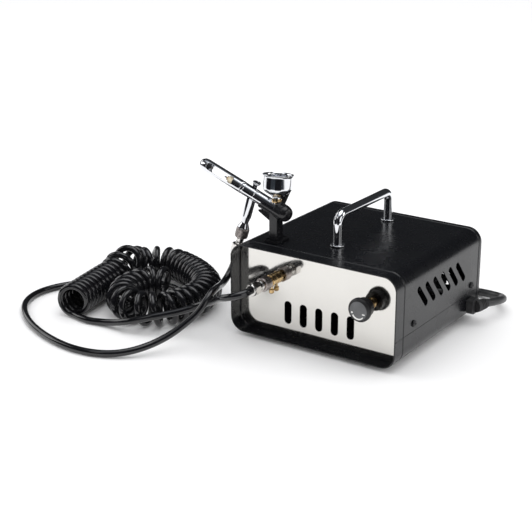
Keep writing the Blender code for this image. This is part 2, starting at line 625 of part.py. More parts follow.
def build_compressor():
    web = rod(10.5, motor_point(61), motor_point(67.5), 24, 0.6)
    crank = place("crank", web, STEEL, origin=motor_point(64))
    pin = rod(2.5, motor_point(50, 0, CRANK_THROW), motor_point(62, 0, CRANK_THROW), 14)
    carve(crank, pin, operation="UNION")
    carve(crank, rod(SHAFT_RADIUS + GAP, motor_point(62.2), motor_point(70)))

    pin_z = CRANK_THROW
    eye = collar(6.5, 2.5 + GAP, motor_point(51.5, 0, pin_z), motor_point(60, 0, pin_z))
    rod_end = place("piston_rod", eye, ALLOY, origin=motor_point(55.5, 0, pin_z))
    shank = block((53.5, 59, MOTOR_Z + pin_z - 3), (58, MOTOR_Y - 4.5, MOTOR_Z + pin_z + 3))
    crown = turned([(0, 0), (PISTON_RADIUS - 0.5, 0), (PISTON_RADIUS, 0.6), (PISTON_RADIUS, 6), (0, 6)],
                   (55.75, 53.5, MOTOR_Z + pin_z), (0, 1, 0))
    carve(rod_end, shank, crown, operation="UNION")

    bore = PISTON_RADIUS + CRANK_THROW + 0.5
    place("cylinder", collar(bore + 3, bore, (55.75, 42, MOTOR_Z), (55.75, 64, MOTOR_Z), 24), ALLOY)
    outline = rounded(55.75 - 17, 55.75 + 17, MOTOR_Z - 17, MOTOR_Z + 17, 5, 3)
    place("cylinder_head", prism([(x, 34, z) for x, z in outline], (0, 7.7, 0)), ALLOY)
    route = smooth_route([(73.4, 37, 44), (79, 37, 44), (97, 32, 50), (113, 26, 46), (119.9, 26, 46)], 14)
    swept("delivery_tube", route, 3.0, RUBBER)


# ---------------------------------------------------------------- switch and mains lead

def build_switch():
    rim = rounded(SWITCH_X - 11.5, SWITCH_X + 11.5, SWITCH_Z - 8, SWITCH_Z + 8, 1.5, 2)
    flange = prism([(x, PANEL_REAR + PANEL_SHEET + GAP, z) for x, z in rim], (0, 1.8, 0))
    frame = place("switch_housing", flange, PLASTIC)
    back = block((SWITCH_X - 9.5, PANEL_REAR - 14, SWITCH_Z - 6.5),
                 (SWITCH_X + 9.5, PANEL_REAR + 2, SWITCH_Z + 6.5))
    carve(frame, back, operation="UNION")
    recess = block((SWITCH_X - 8, PANEL_REAR - 4, SWITCH_Z - 5.2),
                   (SWITCH_X + 8, PANEL_REAR + 6, SWITCH_Z + 5.2))
    carve(frame, recess)
    pivot = Vector((SWITCH_X, PANEL_REAR + 0.2, SWITCH_Z))
    tilt = Matrix.Rotation(radians(9), 3, "Z")
    profile = [(-7.2, -0.6), (0, -2.2), (7.2, -0.6), (7.2, 3.4), (0, 2.4), (-7.2, 3.4)]
    outline = [pivot + tilt @ Vector((x, y, -4.7)) for x, y in profile]
    place("switch_rocker", prism(outline, (0, 0, 9.4)), PLASTIC, origin=pivot)


def build_gland():
    outline = rounded(GLAND_Y - 4.5, GLAND_Y + 8.5, GLAND_Z - 6.8, GLAND_Z + 6.8, 3, 3)
    gland = place("mains_gland", prism([(WIDTH + GAP, y, z) for y, z in outline], (6.4, 0, 0)), RUBBER)
    start = Vector((WIDTH + 7.2, GLAND_Y + 2.5, GLAND_Z))
    end = Vector(LEAD_START)
    span = end - start
    boot = turned([(5.8, 0), (5.6, span.length * 0.5), (4.5, span.length - 0.6)], start, span, 16)
    carve(gland, boot, operation="UNION")


LEAD_ROUTE = [LEAD_START, (179.6, 160.5, 13.4), (180.6, 171.5, 11.6), (178.2, 183, 8.6),
              (171.6, 193.5, 5.4), (161, 201.5, 2.6), (148, 206, 0.8), (134, 206.5, -0.2),
              (119, 202.5, -0.3), (104, 195.5, -0.3), (89, 188, -0.3), (74, 182, -0.3),
              (59, 179.2, -0.3), (43, 179, -0.3)]


def build_lead():
    swept("mains_lead", smooth_route(LEAD_ROUTE, 30), LEAD_RADIUS, LEAD)
    half_w, half_h = COIL_HALF_WIDTH, COIL_HALF_HEIGHT
    bundle = rounded(-half_w, half_w, -half_h, half_h, 4, 2)
    profile = [(COIL_MEAN + dx, FLOOR + half_h + dz) for dx, dz in bundle]
    place("mains_coil", turned(profile, (*COIL_CENTRE, 0), (0, 0, 1), 32, ring=True), LEAD)

    x, y = PLUG_BACK
    low = FLOOR + 2 * half_h + GAP
    body = rounded(x, x + 50, y - 16, y + 16, 9, 4)
    plug = place("mains_plug", prism([(px, py, low) for px, py in body], (0, 0, 18)), PLASTIC)
    pins = [block((x + 49, y + side - 3, low + 7), (x + 67, y + side + 3, low + 11)) for side in (-9, 9)]
    carve(plug, *pins, operation="UNION")


# ---------------------------------------------------------------- air hose

SUPPLY_ROUTE = [(37.1, -23.2, 51), (37.1, -25.2, 51), (35.3, -31.8, 50.5), (30.2, -37, 49.1),
                (22.6, -38.2, 46.6), (13, -33.6, 42.5), (4.4, -26.2, 36.8), (-4.5, -20.6, 31.6),
                (-15, -18.4, 26.5), (-26, -21.2, 21.2), (-36, -29, 17.6), (-46, -36, 15), (-58, -44, 12), (-76, -51, 6.6),
                (-92, -51.5, 2.2), (-107, -52.5, -0.3), (-122, -55, -0.85), (-137, -55.8, -0.85)]
CURL_ROUTE = [(-141, -52), (-146, -26), (-151.5, 2), (-155.5, 29), (-156, 53), (-146, 73),
              (-127, 79), (-105, 74), (-82, 63), (-62, 46), (-52, 22), (-53, -2), (-62, -22),
              (-81, -31), (-102, -25), (-115, -7), (-117, 12), (-111, 28), (-98, 32)]
CURL_LIFT_AT, CURL_LIFT, CURL_LIFT_SPREAD = (-156.0, 42.0), 7.0, 25.0
BRUSH_ROUTE = [(-93.5, 34.5, -0.85), (-94, 44, -0.85), (-100, 51.5, -0.85), (-112, 55, -0.85),
               (-127, 55, -0.85), (-144, 50.5, -0.85), (-161, 40.5, -0.85), (-178, 26.5, -0.85),
               (-193, 9, -0.85), (-203, -11, -0.85), (-205.5, -32, -0.85), (-198.5, -53, -0.85),
               (-182, -72, -0.85), (-158, -89, -0.85), (-129, -102, -0.85), (-98, -109.5, -0.85),
               (-73, -109, -0.85), (-53, -102, -0.3), (-38.5, -90.5, 1.8), (-28, -75.5, 5.4),
               (-19.5, -62, 11.2), (-12, -50.5, 19.2), (-6, -41.5, 27.4), (-2.4, -33, 36.8),
               (-2.8, -24, 41.4), (-5.8, -14, 41.2), (-9.8, -4, 39.4), (-13.6, 6.5, 38),
               (-16.2, 16, 39.4), (-16.9, 23, 43.8)]


def brush_hose_start():
    """The face of the airbrush's hose nut, and a point straight below it."""
    return [brush_point(VALVE_AT, 0, -70), brush_point(VALVE_AT, 0, -62)]


def lifted(point):
    """Height of the curly hose's middle: raised where it lies over the plain hose."""
    away = hypot(point[0] - CURL_LIFT_AT[0], point[1] - CURL_LIFT_AT[1])
    hump = max(0.0, 1 - (away / CURL_LIFT_SPREAD) ** 2) ** 2
    return FLOOR + CURL_RADIUS + GAP + CURL_LIFT * hump


def build_hoses():
    swept("supply_hose", smooth_route(SUPPLY_ROUTE, 30), HOSE_RADIUS, HOSE)
    flat = smooth_route([(x, y, 0) for x, y in CURL_ROUTE], 44)
    middle = [Vector((p.x, p.y, lifted(p))) for p in flat]
    swept("curly_hose", middle, CURL_RADIUS, HOSE, 3)
    swept("brush_hose", smooth_route(BRUSH_ROUTE + brush_hose_start(), 70), HOSE_RADIUS, HOSE)


def main():
    clear_scene()
    build_case()
    build_panels()
    build_handle()
    brush = brush_empty()
    build_holder(brush)
    build_airbrush(brush)
    build_outlet()
    build_knob()
    build_motor()
    build_fan()
    build_compressor()
    build_switch()
    build_gland()
    build_lead()
    build_hoses()


main()
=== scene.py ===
"""Looks of the airbrush compressor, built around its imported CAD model.

Lengths in the helpers are millimetres in the case frame: X to the right, Y to the back, Z up,
zero at the case's lower front left corner.  `solid` writes them in metres in the model's frame.
"""
from math import cos, hypot, pi, radians, sin

import bmesh
import bpy
from mathutils import Matrix, Vector


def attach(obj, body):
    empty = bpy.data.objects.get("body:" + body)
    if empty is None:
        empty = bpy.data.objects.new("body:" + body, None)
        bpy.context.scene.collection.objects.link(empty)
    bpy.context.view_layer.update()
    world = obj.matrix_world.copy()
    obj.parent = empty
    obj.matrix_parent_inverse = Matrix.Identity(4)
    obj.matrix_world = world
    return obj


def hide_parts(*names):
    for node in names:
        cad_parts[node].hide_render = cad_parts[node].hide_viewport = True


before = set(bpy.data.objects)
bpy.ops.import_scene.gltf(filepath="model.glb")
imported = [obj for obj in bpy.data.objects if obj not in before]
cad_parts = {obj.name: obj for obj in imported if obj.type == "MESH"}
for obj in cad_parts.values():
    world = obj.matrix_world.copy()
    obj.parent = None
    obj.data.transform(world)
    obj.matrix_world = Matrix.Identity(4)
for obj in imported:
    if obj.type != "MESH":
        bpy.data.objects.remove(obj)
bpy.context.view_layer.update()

MM = 0.001
SHIFT = Vector((-50.90, -67.70, 4.0))
GAP = 0.3
FLOOR = -4.0
WIDTH, DEPTH, HEIGHT = 165.0, 158.0, 81.0
SHEET, CORNER, SEAM = 1.2, 13.2, 25.6
BEADS, BEAD_DEPTH = (13.5, 152.6), 0.6
PANEL_FRONT, PANEL_REAR, PANEL_SHEET = 13.3, 147.0, 1.2
SCREW_Y, SCREW_Z = (31.3, 140.4), 32.5
HANDLE_X, HANDLE_Y, HANDLE_Z, HANDLE_RADIUS, HANDLE_BEND = 82.0, (44.5, 133.0), 108.5, 4.0, 8.0
HOLDER_X, HOLDER_Y, POST_Y = 30.5, 27.0, 26.0
OUTLET_X, OUTLET_Z = 37.1, 51.0
KNOB_X, KNOB_Z = 132.7, 48.6
FITTING_Y = -13.3
SWITCH_X, SWITCH_Z = 40.0, 50.0
GLAND_Y, GLAND_Z = 136.0, 14.5
FEET = [(20.0, 20.0), (WIDTH - 20, 20.0), (20.0, DEPTH - 20), (WIDTH - 20, DEPTH - 20)]
BODY_RADIUS, VALVE_AT, CUP_AT, CUP_TILT = 5.6, 28.5, -1.8, radians(16)
HOSE_RADIUS, CURL_RADIUS, LEAD_RADIUS = 3.15, 16.0, 3.7
LEAD_START = (176.0, 150.5, 14.2)
COIL_CENTRE = Vector((36.0, 236.0, 0.0))
PLUG_BACK = Vector((22.0, 272.0, 20.9))


def brush_frame():
    """The airbrush's own frame: X to its tail, Y to its side, Z up, zero where it enters the holder."""
    yaw, pitch, roll = radians(-12), radians(13), radians(-8)
    ahead = Vector((cos(yaw), sin(yaw), 0))
    tail = Vector((0, 0, 1)) * sin(pitch) - ahead * cos(pitch)
    upright = Vector((0, 0, 1)) * cos(pitch) + ahead * sin(pitch)
    up = upright * cos(roll) + upright.cross(tail) * sin(roll)
    turn = Matrix((tail, up.cross(tail), up)).transposed().to_4x4()
    return Matrix.Translation((28.2, 27.5, 110.6)) @ turn


BRUSH = brush_frame()


# ---------------------------------------------------------------- camera, light and floor

def put(name, data):
    thing = bpy.data.objects.new(name, data)
    bpy.context.scene.collection.objects.link(thing)
    return thing


def aim(thing, place, target):
    thing.location = place
    thing.rotation_euler = (Vector(target) - Vector(place)).to_track_quat("-Z", "Y").to_euler()


def sheet(name, corners, colour, roughness, specular):
    """A flat sheet of the studio, with its own plain material."""
    mesh = bpy.data.meshes.new(name)
    mesh.from_pydata(corners, [], [(0, 1, 2, 3)])
    surface = bpy.data.materials.new(name)
    surface.use_nodes = True
    shader = surface.node_tree.nodes["Principled BSDF"]
    shader.inputs["Base Color"].default_value = (*colour, 1)
    shader.inputs["Roughness"].default_value = roughness
    shader.inputs["Specular IOR Level"].default_value = specular
    mesh.materials.append(surface)
    return put(name, mesh)


def set_camera():
    azimuth, elevation, distance = radians(34.2), radians(19.84), 1.1636
    back = Vector((sin(azimuth) * cos(elevation), -cos(azimuth) * cos(elevation), sin(elevation)))
    target = (Vector((3.5, 50.3, 44.9)) + SHIFT) * MM
    data = bpy.data.cameras.new("camera")
    data.lens, data.sensor_width, data.clip_start = 86.82, 36.0, 0.01
    camera = put("camera", data)
    aim(camera, target + back * distance, target)
    bpy.context.scene.camera = camera


def soft_light(name, place, target, size, power, colour=(1, 1, 1)):
    data = bpy.data.lights.new(name, "AREA")
    data.shape, data.size, data.size_y = "RECTANGLE", size[0], size[1]
    data.energy, data.color = power, colour
    aim(put(name, data), place, target)


def card(name, place, size, heading):
    """A dark upright card that only reflections see, as in a photographer's studio."""
    half, top = size[0] / 2, size[1]
    thing = sheet(name, [(-half, 0, 0), (half, 0, 0), (half, 0, top), (-half, 0, top)],
                  (0.01, 0.01, 0.012), 1.0, 0.0)
    thing.location, thing.rotation_euler = place, (0, 0, radians(heading))
    thing.visible_camera = False
    thing.visible_diffuse = False
    thing.visible_shadow = False


# What the polished parts see round the set: soft boxes as direction, half-angle in degrees and
# brightness, and the studio behind them as brightness against the sine of the height.
SOFT_BOXES = [((-0.95, 0.15, 0.40), 16, 1.3), ((0.95, -0.15, 0.30), 17, 1.3),
              ((-0.25, -0.70, 0.80), 8, 1.3)]
SOFT_EDGE = 3
DARK_STUDIO = [(0.02, 0.035), (0.72, 0.03), (0.82, 0.10), (0.90, 0.75)]
TABLE_ENDS = 0.85, 1.15


def fade_in_reflections(tree, shader):
    """Polished metal sees the pale table end a little way off, with the dark studio beyond it."""
    add = tree.nodes.new
    place = add("ShaderNodeVectorMath")
    place.operation = "LENGTH"
    tree.links.new(add("ShaderNodeNewGeometry").outputs["Position"], place.inputs[0])
    far = add("ShaderNodeMapRange")
    far.interpolation_type = "SMOOTHSTEP"
    far.inputs["From Min"].default_value, far.inputs["From Max"].default_value = TABLE_ENDS
    tree.links.new(place.outputs["Value"], far.inputs["Value"])
    both = add("ShaderNodeMath")
    both.operation = "MULTIPLY"
    tree.links.new(add("ShaderNodeLightPath").outputs["Is Glossy Ray"], both.inputs[0])
    tree.links.new(far.outputs["Result"], both.inputs[1])
    dark, mix = add("ShaderNodeEmission"), add("ShaderNodeMixShader")
    dark.inputs["Color"].default_value = (0.035, 0.04, 0.048, 1)
    tree.links.new(both.outputs[0], mix.inputs["Fac"])
    tree.links.new(shader.outputs[0], mix.inputs[1])
    tree.links.new(dark.outputs[0], mix.inputs[2])
    tree.links.new(mix.outputs[0], tree.nodes["Material Output"].inputs["Surface"])


def set_studio():
    scene = bpy.context.scene
    scene.view_settings.view_transform = "Standard"
    world = bpy.data.worlds.new("studio")
    scene.world = world
    world.use_nodes = True
    tree = world.node_tree
    tree.nodes.clear()
    add = tree.nodes.new
    where = add("ShaderNodeTexCoord").outputs["Generated"]
    split = add("ShaderNodeSeparateXYZ")
    tree.links.new(where, split.inputs[0])
    ramp = add("ShaderNodeValToRGB")
    tree.links.new(split.outputs["Z"], ramp.inputs[0])
    stops = ramp.color_ramp.elements
    stops[0].position, stops[0].color = 0.0, (0.30, 0.31, 0.33, 1)
    stops[1].position, stops[1].color = 1.0, (1.15, 1.15, 1.15, 1)
    for position, level in DARK_STUDIO:
        stop = stops.new(position)
        stop.color = (level * 0.95, level, level * 1.08, 1)
    glow = ramp.outputs[0]
    for direction, width, level in SOFT_BOXES:
        reach = add("ShaderNodeVectorMath")
        reach.operation = "DOT_PRODUCT"
        tree.links.new(where, reach.inputs[0])
        reach.inputs[1].default_value = Vector(direction).normalized()
        edge = add("ShaderNodeMapRange")
        edge.interpolation_type = "SMOOTHSTEP"
        tree.links.new(reach.outputs["Value"], edge.inputs["Value"])
        edge.inputs["From Min"].default_value = cos(radians(width + SOFT_EDGE))
        edge.inputs["From Max"].default_value = cos(radians(width - SOFT_EDGE))
        edge.inputs["To Max"].default_value = level
        mix = add("ShaderNodeMix")
        mix.data_type, mix.blend_type = "RGBA", "ADD"
        mix.inputs[0].default_value = 1.0
        tree.links.new(glow, mix.inputs[6])
        tree.links.new(edge.outputs["Result"], mix.inputs[7])
        glow = mix.outputs[2]
    path = add("ShaderNodeLightPath")
    mirrored, seen = add("ShaderNodeBackground"), add("ShaderNodeBackground")
    tree.links.new(glow, mirrored.inputs["Color"])
    seen.inputs["Color"].default_value = (0.99, 0.99, 1.0, 1)
    either = add("ShaderNodeMixShader")
    tree.links.new(path.outputs["Is Glossy Ray"], either.inputs["Fac"])
    tree.links.new(seen.outputs[0], either.inputs[1])
    tree.links.new(mirrored.outputs[0], either.inputs[2])
    tree.links.new(either.outputs[0], add("ShaderNodeOutputWorld").inputs["Surface"])

    floor = sheet("floor", [(-9, -9, 0), (9, -9, 0), (9, 9, 0), (-9, 9, 0)], (0.96, 0.96, 0.96), 0.7, 0.1)
    tree = floor.data.materials[0].node_tree
    fade_in_reflections(tree, tree.nodes["Principled BSDF"])

    soft_light("overhead", (0.1, 0.2, 1.9), (0, 0, 0), (2.0, 1.3), 9)
    soft_light("left_window", (-1.7, -0.7, 0.9), (0, 0, 0.05), (0.7, 1.1), 5)
    soft_light("right_window", (1.5, 0.9, 0.8), (0, 0, 0.05), (0.5, 0.9), 4, (1.0, 0.99, 0.97))
    card("card_near_camera", (0.27, -0.41, 0.0), (0.42, 0.36), 34)
    card("card_left", (-0.40, -0.43, 0.0), (0.40, 0.34), -30)


# ---------------------------------------------------------------- materials


def dress(slot, name, colour, roughness, metal, wear, tint, *grains, **sockets):
    """A Principled material with procedural detail. Its slot argument is not used.

    wear is (noise scale, detail, spread of the roughness), tint (noise scale, detail, other colour).
    Each grain is a bump of (noise scale, detail, distance, strength), which may end with the noise's
    stretch; with no detail it is a row of fine ribs.
    """
    material = bpy.data.materials.new(name)
    material.use_nodes = True
    tree = material.node_tree
    add, link, shader = tree.nodes.new, tree.links.new, tree.nodes["Principled BSDF"]
    where = add("ShaderNodeTexCoord").outputs["Object"]
    shader.inputs["Base Color"].default_value = (*colour, 1)
    shader.inputs["Roughness"].default_value = roughness
    shader.inputs["Metallic"].default_value = metal
    for socket, value in sockets.items():
        shader.inputs[socket.replace("_", " ")].default_value = value

    def pattern(scale, detail, stretch=(1, 1, 1)):
        node = add("ShaderNodeTexNoise" if detail else "ShaderNodeTexWave")
        node.inputs["Scale"].default_value = scale
        if not detail:
            link(where, node.inputs["Vector"])
            return node.outputs["Fac"]
        node.inputs["Detail"].default_value = detail
        turn = add("ShaderNodeMapping")
        turn.inputs["Scale"].default_value = stretch
        link(where, turn.inputs["Vector"])
        link(turn.outputs[0], node.inputs["Vector"])
        return node.outputs["Fac"]

    def ramp(source, start, end, low, high):
        node = add("ShaderNodeMapRange")
        for socket, value in (("From Min", start), ("From Max", end), ("To Min", low), ("To Max", high)):
            node.inputs[socket].default_value = value
        link(source, node.inputs["Value"])
        return node.outputs[0]

    if wear:
        low, high = max(roughness - wear[2], 0.02), roughness + wear[2]
        link(ramp(pattern(*wear[:2]), 0.3, 0.7, low, high), shader.inputs["Roughness"])
    mix = add("ShaderNodeMix")
    mix.data_type = "RGBA"
    mix.inputs["A"].default_value, mix.inputs["B"].default_value = (*colour, 1), (*tint[2], 1)
    link(ramp(pattern(*tint[:2]), 0.35, 0.75, 0, 1), mix.inputs["Factor"])
    link(mix.outputs["Result"], shader.inputs["Base Color"])
    normal = None
    for scale, detail, distance, strength, *stretch in grains:
        node = add("ShaderNodeBump")
        node.inputs["Distance"].default_value = distance
        node.inputs["Strength"].default_value = strength
        link(pattern(scale, detail, *stretch), node.inputs["Height"])
        if normal:
            link(normal, node.inputs["Normal"])
        normal = node.outputs[0]
    link(normal, shader.inputs["Normal"])
    return material


def moulded(slot, name, colour=(0.006, 0.006, 0.007), roughness=0.2, grain=0.25):
    return dress(slot, name, colour, roughness, 0, (200, 5, 0.05), (120, 4, [c * 1.5 for c in colour]),
                 (2600, 2, 0.00004, grain))


def plated(name, colour, roughness):
    return dress("chrome", name, colour, roughness, 1, (160, 6, 0.02), (90, 4, [c * 0.93 for c in colour]),
                 (2500, 3, 0.00001, 0.2))


set_camera()
set_studio()

PAINT = dress("black_paint", "powder_coat", (0.0022, 0.0025, 0.0036), 0.27, 0, (45, 5, 0.035),
              (18, 6, (0.0034, 0.0038, 0.0052)), (1300, 2, 0.00006, 0.35), (9, 1, 0.0006, 0.12))
MIRROR = dress("mirror_steel", "mirror_steel", (0.74, 0.725, 0.69), 0.085, 1, (60, 6, 0.03),
               (25, 3, (0.715, 0.70, 0.665)), (700, 3, 0.00003, 0.25, (1, 1, 0.02)), (14, 1, 0.0006, 0.15))
CHROME = plated("chrome", (0.80, 0.81, 0.835), 0.045)
STEEL_NUT = plated("nut_nickel", (0.70, 0.68, 0.655), 0.12)
NICKEL = dress("satin_nickel", "satin_nickel", (0.50, 0.45, 0.43), 0.30, 1, (900, 4, 0.08),
               (500, 5, (0.40, 0.36, 0.345)), (3000, 2, 0.00003, 0.4))
BRASS = dress("brass", "brass", (0.72, 0.52, 0.27), 0.22, 1, (400, 4, 0.06),
              (150, 5, (0.60, 0.41, 0.20)), (1500, 3, 0.00002, 0.4, (0.1, 1, 1)))
ZINC = dress("zinc_steel", "zinc_steel", (0.52, 0.53, 0.56), 0.34, 1, (120, 5, 0.1),
             (60, 6, (0.44, 0.45, 0.47)), (900, 3, 0.00005, 0.4))
LAMINATIONS = dress("zinc_steel", "laminations", (0.33, 0.33, 0.34), 0.42, 1, (300, 3, 0.08),
                    (80, 5, (0.25, 0.24, 0.235)), (320, None, 0.0002, 0.8))
COPPER = dress("copper_wire", "winding_wire", (0.55, 0.22, 0.09), 0.28, 1, (300, 3, 0.08),
               (250, 4, (0.40, 0.15, 0.06)), (260, None, 0.0004, 1.0), Coat_Weight=0.6)
ALLOY = dress("cast_aluminium", "cast_alloy", (0.55, 0.56, 0.58), 0.48, 1, (200, 4, 0.1),
              (90, 5, (0.47, 0.475, 0.49)), (1400, 3, 0.0001, 0.6))
GLOSS_PLASTIC = moulded("black_plastic", "gloss_plastic")
PLASTIC = moulded("black_plastic", "satin_plastic", (0.009, 0.009, 0.010), 0.36, 0.5)
KNOB_FACE = moulded("black_plastic", "knob_face", (0.075, 0.077, 0.08), 0.34, 0.4)
IVORY = moulded("brass", "ivory_acetal", (0.52, 0.46, 0.34), 0.35, 0.3)
RUBBER = dress("black_rubber", "rubber", (0.016, 0.016, 0.017), 0.62, 0, (300, 4, 0.08),
               (150, 6, (0.024, 0.024, 0.025)), (1800, 3, 0.00008, 0.5))
HOSE = dress("hose_polyurethane", "hose_polyurethane", (0.0045, 0.0045, 0.0055), 0.13, 0, (90, 5, 0.04),
             (60, 3, (0.0075, 0.0075, 0.009)), (260, 2, 0.00012, 0.12), Coat_Weight=0.35, Coat_Roughness=0.05)
PVC = dress("lead_pvc", "lead_pvc", (0.02, 0.0205, 0.022), 0.38, 0, (250, 4, 0.06),
            (110, 5, (0.028, 0.0285, 0.030)), (1500, 3, 0.00006, 0.35))
DIAL_WHITE = dress("black_plastic", "dial_white", (0.78, 0.78, 0.76), 0.5, 0, None,
                   (900, 3, (0.66, 0.66, 0.64)), (3000, 2, 0.00002, 0.3))


# ---------------------------------------------------------------- shape helpers

def raw(name, shape, turn=None):
    """Makes an object of a bmesh in millimetres, in the case frame or in the frame given."""
    bmesh.ops.recalc_face_normals(shape, faces=shape.faces)
    to_metres = Matrix.Scale(MM, 4) @ Matrix.Translation(SHIFT) @ (turn or Matrix())
    bmesh.ops.transform(shape, matrix=to_metres, verts=shape.verts)
    mesh = bpy.data.meshes.new(name)
    shape.to_mesh(mesh)
    shape.free()
    return put(name, mesh)


def settle(thing):
    """Applies an object's modifiers."""
    mesh = bpy.data.meshes.new_from_object(thing.evaluated_get(bpy.context.evaluated_depsgraph_get()))
    mesh.name = thing.name
    thing.modifiers.clear()
    thing.data = mesh


def carve(thing, *shapes, operation="DIFFERENCE", turn=None):
    tools = [raw(f"{thing.name}_tool", shape, turn) for shape in shapes]
    for tool in tools:
        step = thing.modifiers.new("carve", "BOOLEAN")
        step.operation, step.solver, step.object = operation, "EXACT", tool
    settle(thing)
    for tool in tools:
        bpy.data.objects.remove(tool)
    return thing


def finish(thing, material, body="case", nodes=(), bevel=0.0, smooth=35):
    """Gives a piece its material, edges and body, and hides the CAD nodes it stands for."""
    thing.data.materials.clear()
    thing.data.materials.append(material)
    thing.data.polygons.foreach_set("material_index", [0] * len(thing.data.polygons))
    thing.data.shade_smooth()
    if bevel:
        edge = thing.modifiers.new("edges", "BEVEL")
        edge.width, edge.segments, edge.limit_method, edge.angle_limit = bevel * MM, 2, "ANGLE", radians(38)
        edge.use_clamp_overlap = True
        weight = thing.modifiers.new("normals", "WEIGHTED_NORMAL")
        weight.mode, weight.weight, weight.keep_sharp = "FACE_AREA", 80, True
    else:
        thing.data.set_sharp_from_angle(angle=radians(smooth))
    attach(thing, body)
    if nodes:
        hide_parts(*nodes)
    return thing


def solid(name, shape, material, body="case", nodes=(), turn=None, bevel=0.0, smooth=35):
    return finish(raw(name, shape, turn), material, body, nodes, bevel, smooth)


def loft(sections):
    """Joins sections with the same number of points, and closes both ends."""
    shape = bmesh.new()
    rings = [[shape.verts.new(point) for point in section] for section in sections]
    for low, high in zip(rings, rings[1:]):
        count = len(low)
        for i in range(count):
            j = (i + 1) % count
            shape.faces.new((low[i], low[j], high[j], high[i]))
    shape.faces.new(reversed(rings[0]))
    shape.faces.new(rings[-1])
    return shape


def prism(outline, travel):
    return loft([outline, [Vector(point) + Vector(travel) for point in outline]])


def wall(outline, y, depth):
    """A prism along Y of an outline in X and Z."""
    return prism([(x, y, z) for x, z in outline], (0, depth, 0))


def slab(outline, z, height):
    """A prism along Z of an outline in X and Y."""
    return prism([(x, y, z) for x, y in outline], (0, 0, height))


def block(low, high):
    corners = [(low[0], low[1]), (high[0], low[1]), (high[0], high[1]), (low[0], high[1])]
    return slab(corners, low[2], high[2] - low[2])


def frame_about(axis):
    along = Vector(axis).normalized()
    guide = Vector((0, 0, 1)) if abs(along.z) < 0.9 else Vector((0, 1, 0))
    across = along.cross(guide).normalized()
    return along, across, across.cross(along)


def eased(profile, radius=0.3, ring=False, steps=3):
    """Rounds the corners of a (radius, height) profile."""
    points = [Vector(p) for p in profile]
    result = []
    for i, point in enumerate(points):
        if not ring and i in (0, len(points) - 1):
            result.append(point)
            continue
        back, ahead = points[i - 1] - point, points[(i + 1) % len(points)] - point
        cut = min(radius, back.length * 0.45, ahead.length * 0.45)
        start, end = point + back.normalized() * cut, point + ahead.normalized() * cut
        for k in range(steps + 1):
            t = k / steps
            result.append(start * (1 - t) ** 2 + point * 2 * t * (1 - t) + end * t * t)
    return result


def turned(profile, base=(0, 0, 0), axis=(0, 0, 1), segments=64, ring=False, wobble=None):
    """Revolves (radius, height) points about an axis; wobble adds to the radius at (angle, height)."""
    shape = bmesh.new()
    along, across, upward = frame_about(axis)
    loops = []
    for radius, height in profile:
        centre = Vector(base) + along * height
        if radius < 1e-6:
            loops.append([shape.verts.new(centre)])
            continue
        loop = []
        for i in range(segments):
            angle = 2 * pi * (i + 0.5) / segments
            out = radius + (wobble(angle, height) if wobble else 0.0)
            loop.append(shape.verts.new(centre + (across * cos(angle) + upward * sin(angle)) * out))
        loops.append(loop)
    pairs = list(zip(loops, loops[1:]))
    if ring:
        pairs.append((loops[-1], loops[0]))
    for low, high in pairs:
        for i in range(segments):
            j = (i + 1) % segments
            corners = [low[i % len(low)], low[j % len(low)], high[j % len(high)], high[i % len(high)]]
            shape.faces.new(list(dict.fromkeys(corners)))
    return shape


def rod(radius, start, end, segments=40):
    span = Vector(end) - Vector(start)
    return turned([(0, 0), (radius, 0), (radius, span.length), (0, span.length)], start, span, segments)


def arc(centre, radius, start, end, steps):
    angles = [radians(start + (end - start) * i / steps) for i in range(steps + 1)]
    return [(centre[0] + radius * cos(a), centre[1] + radius * sin(a)) for a in angles]


def rounded(x0, x1, z0, z1, radius, steps=8):
    return (arc((x1 - radius, z1 - radius), radius, 0, 90, steps)
            + arc((x0 + radius, z1 - radius), radius, 90, 180, steps)
            + arc((x0 + radius, z0 + radius), radius, 180, 270, steps)
            + arc((x1 - radius, z0 + radius), radius, 270, 360, steps))


def slot(end_a, end_b, radius, steps=10):
    slope = Vector((end_b[0] - end_a[0], end_b[1] - end_a[1]))
    heading = slope.angle_signed(Vector((1, 0))) * 180 / pi
    return (arc(end_b, radius, heading - 90, heading + 90, steps)
            + arc(end_a, radius, heading + 90, heading + 270, steps))


def smooth_route(points, spacing):
    """Points a given distance apart, about, on a Catmull-Rom curve through the ones given."""
    knots = [Vector(p) for p in points]
    knots = [2 * knots[0] - knots[1]] + knots + [2 * knots[-1] - knots[-2]]
    route = []
    for a, b, c, d in zip(knots, knots[1:], knots[2:], knots[3:]):
        steps = max(1, round((c - b).length / spacing))
        for i in range(steps):
            t = i / steps
            route.append(0.5 * (2 * b + (c - a) * t + (2 * a - 5 * b + 4 * c - d) * t * t
                                + (3 * b - a - 3 * c + d) * t ** 3))
    route.append(knots[-2])
    return route


def tube(name, points, radius, material):
    """A round tube on one open spline through the points."""
    curve = bpy.data.curves.new(name, "CURVE")
    curve.dimensions = "3D"
    curve.bevel_depth = radius * MM
    curve.bevel_resolution = 5
    curve.use_fill_caps = True
    spline = curve.splines.new("POLY")
    spline.points.add(len(points) - 1)
    for knot, point in zip(spline.points, points):
        knot.co = (*((point + SHIFT) * MM), 1.0)
    curve.materials.append(material)
    return put(name, curve)


# ---------------------------------------------------------------- air hose

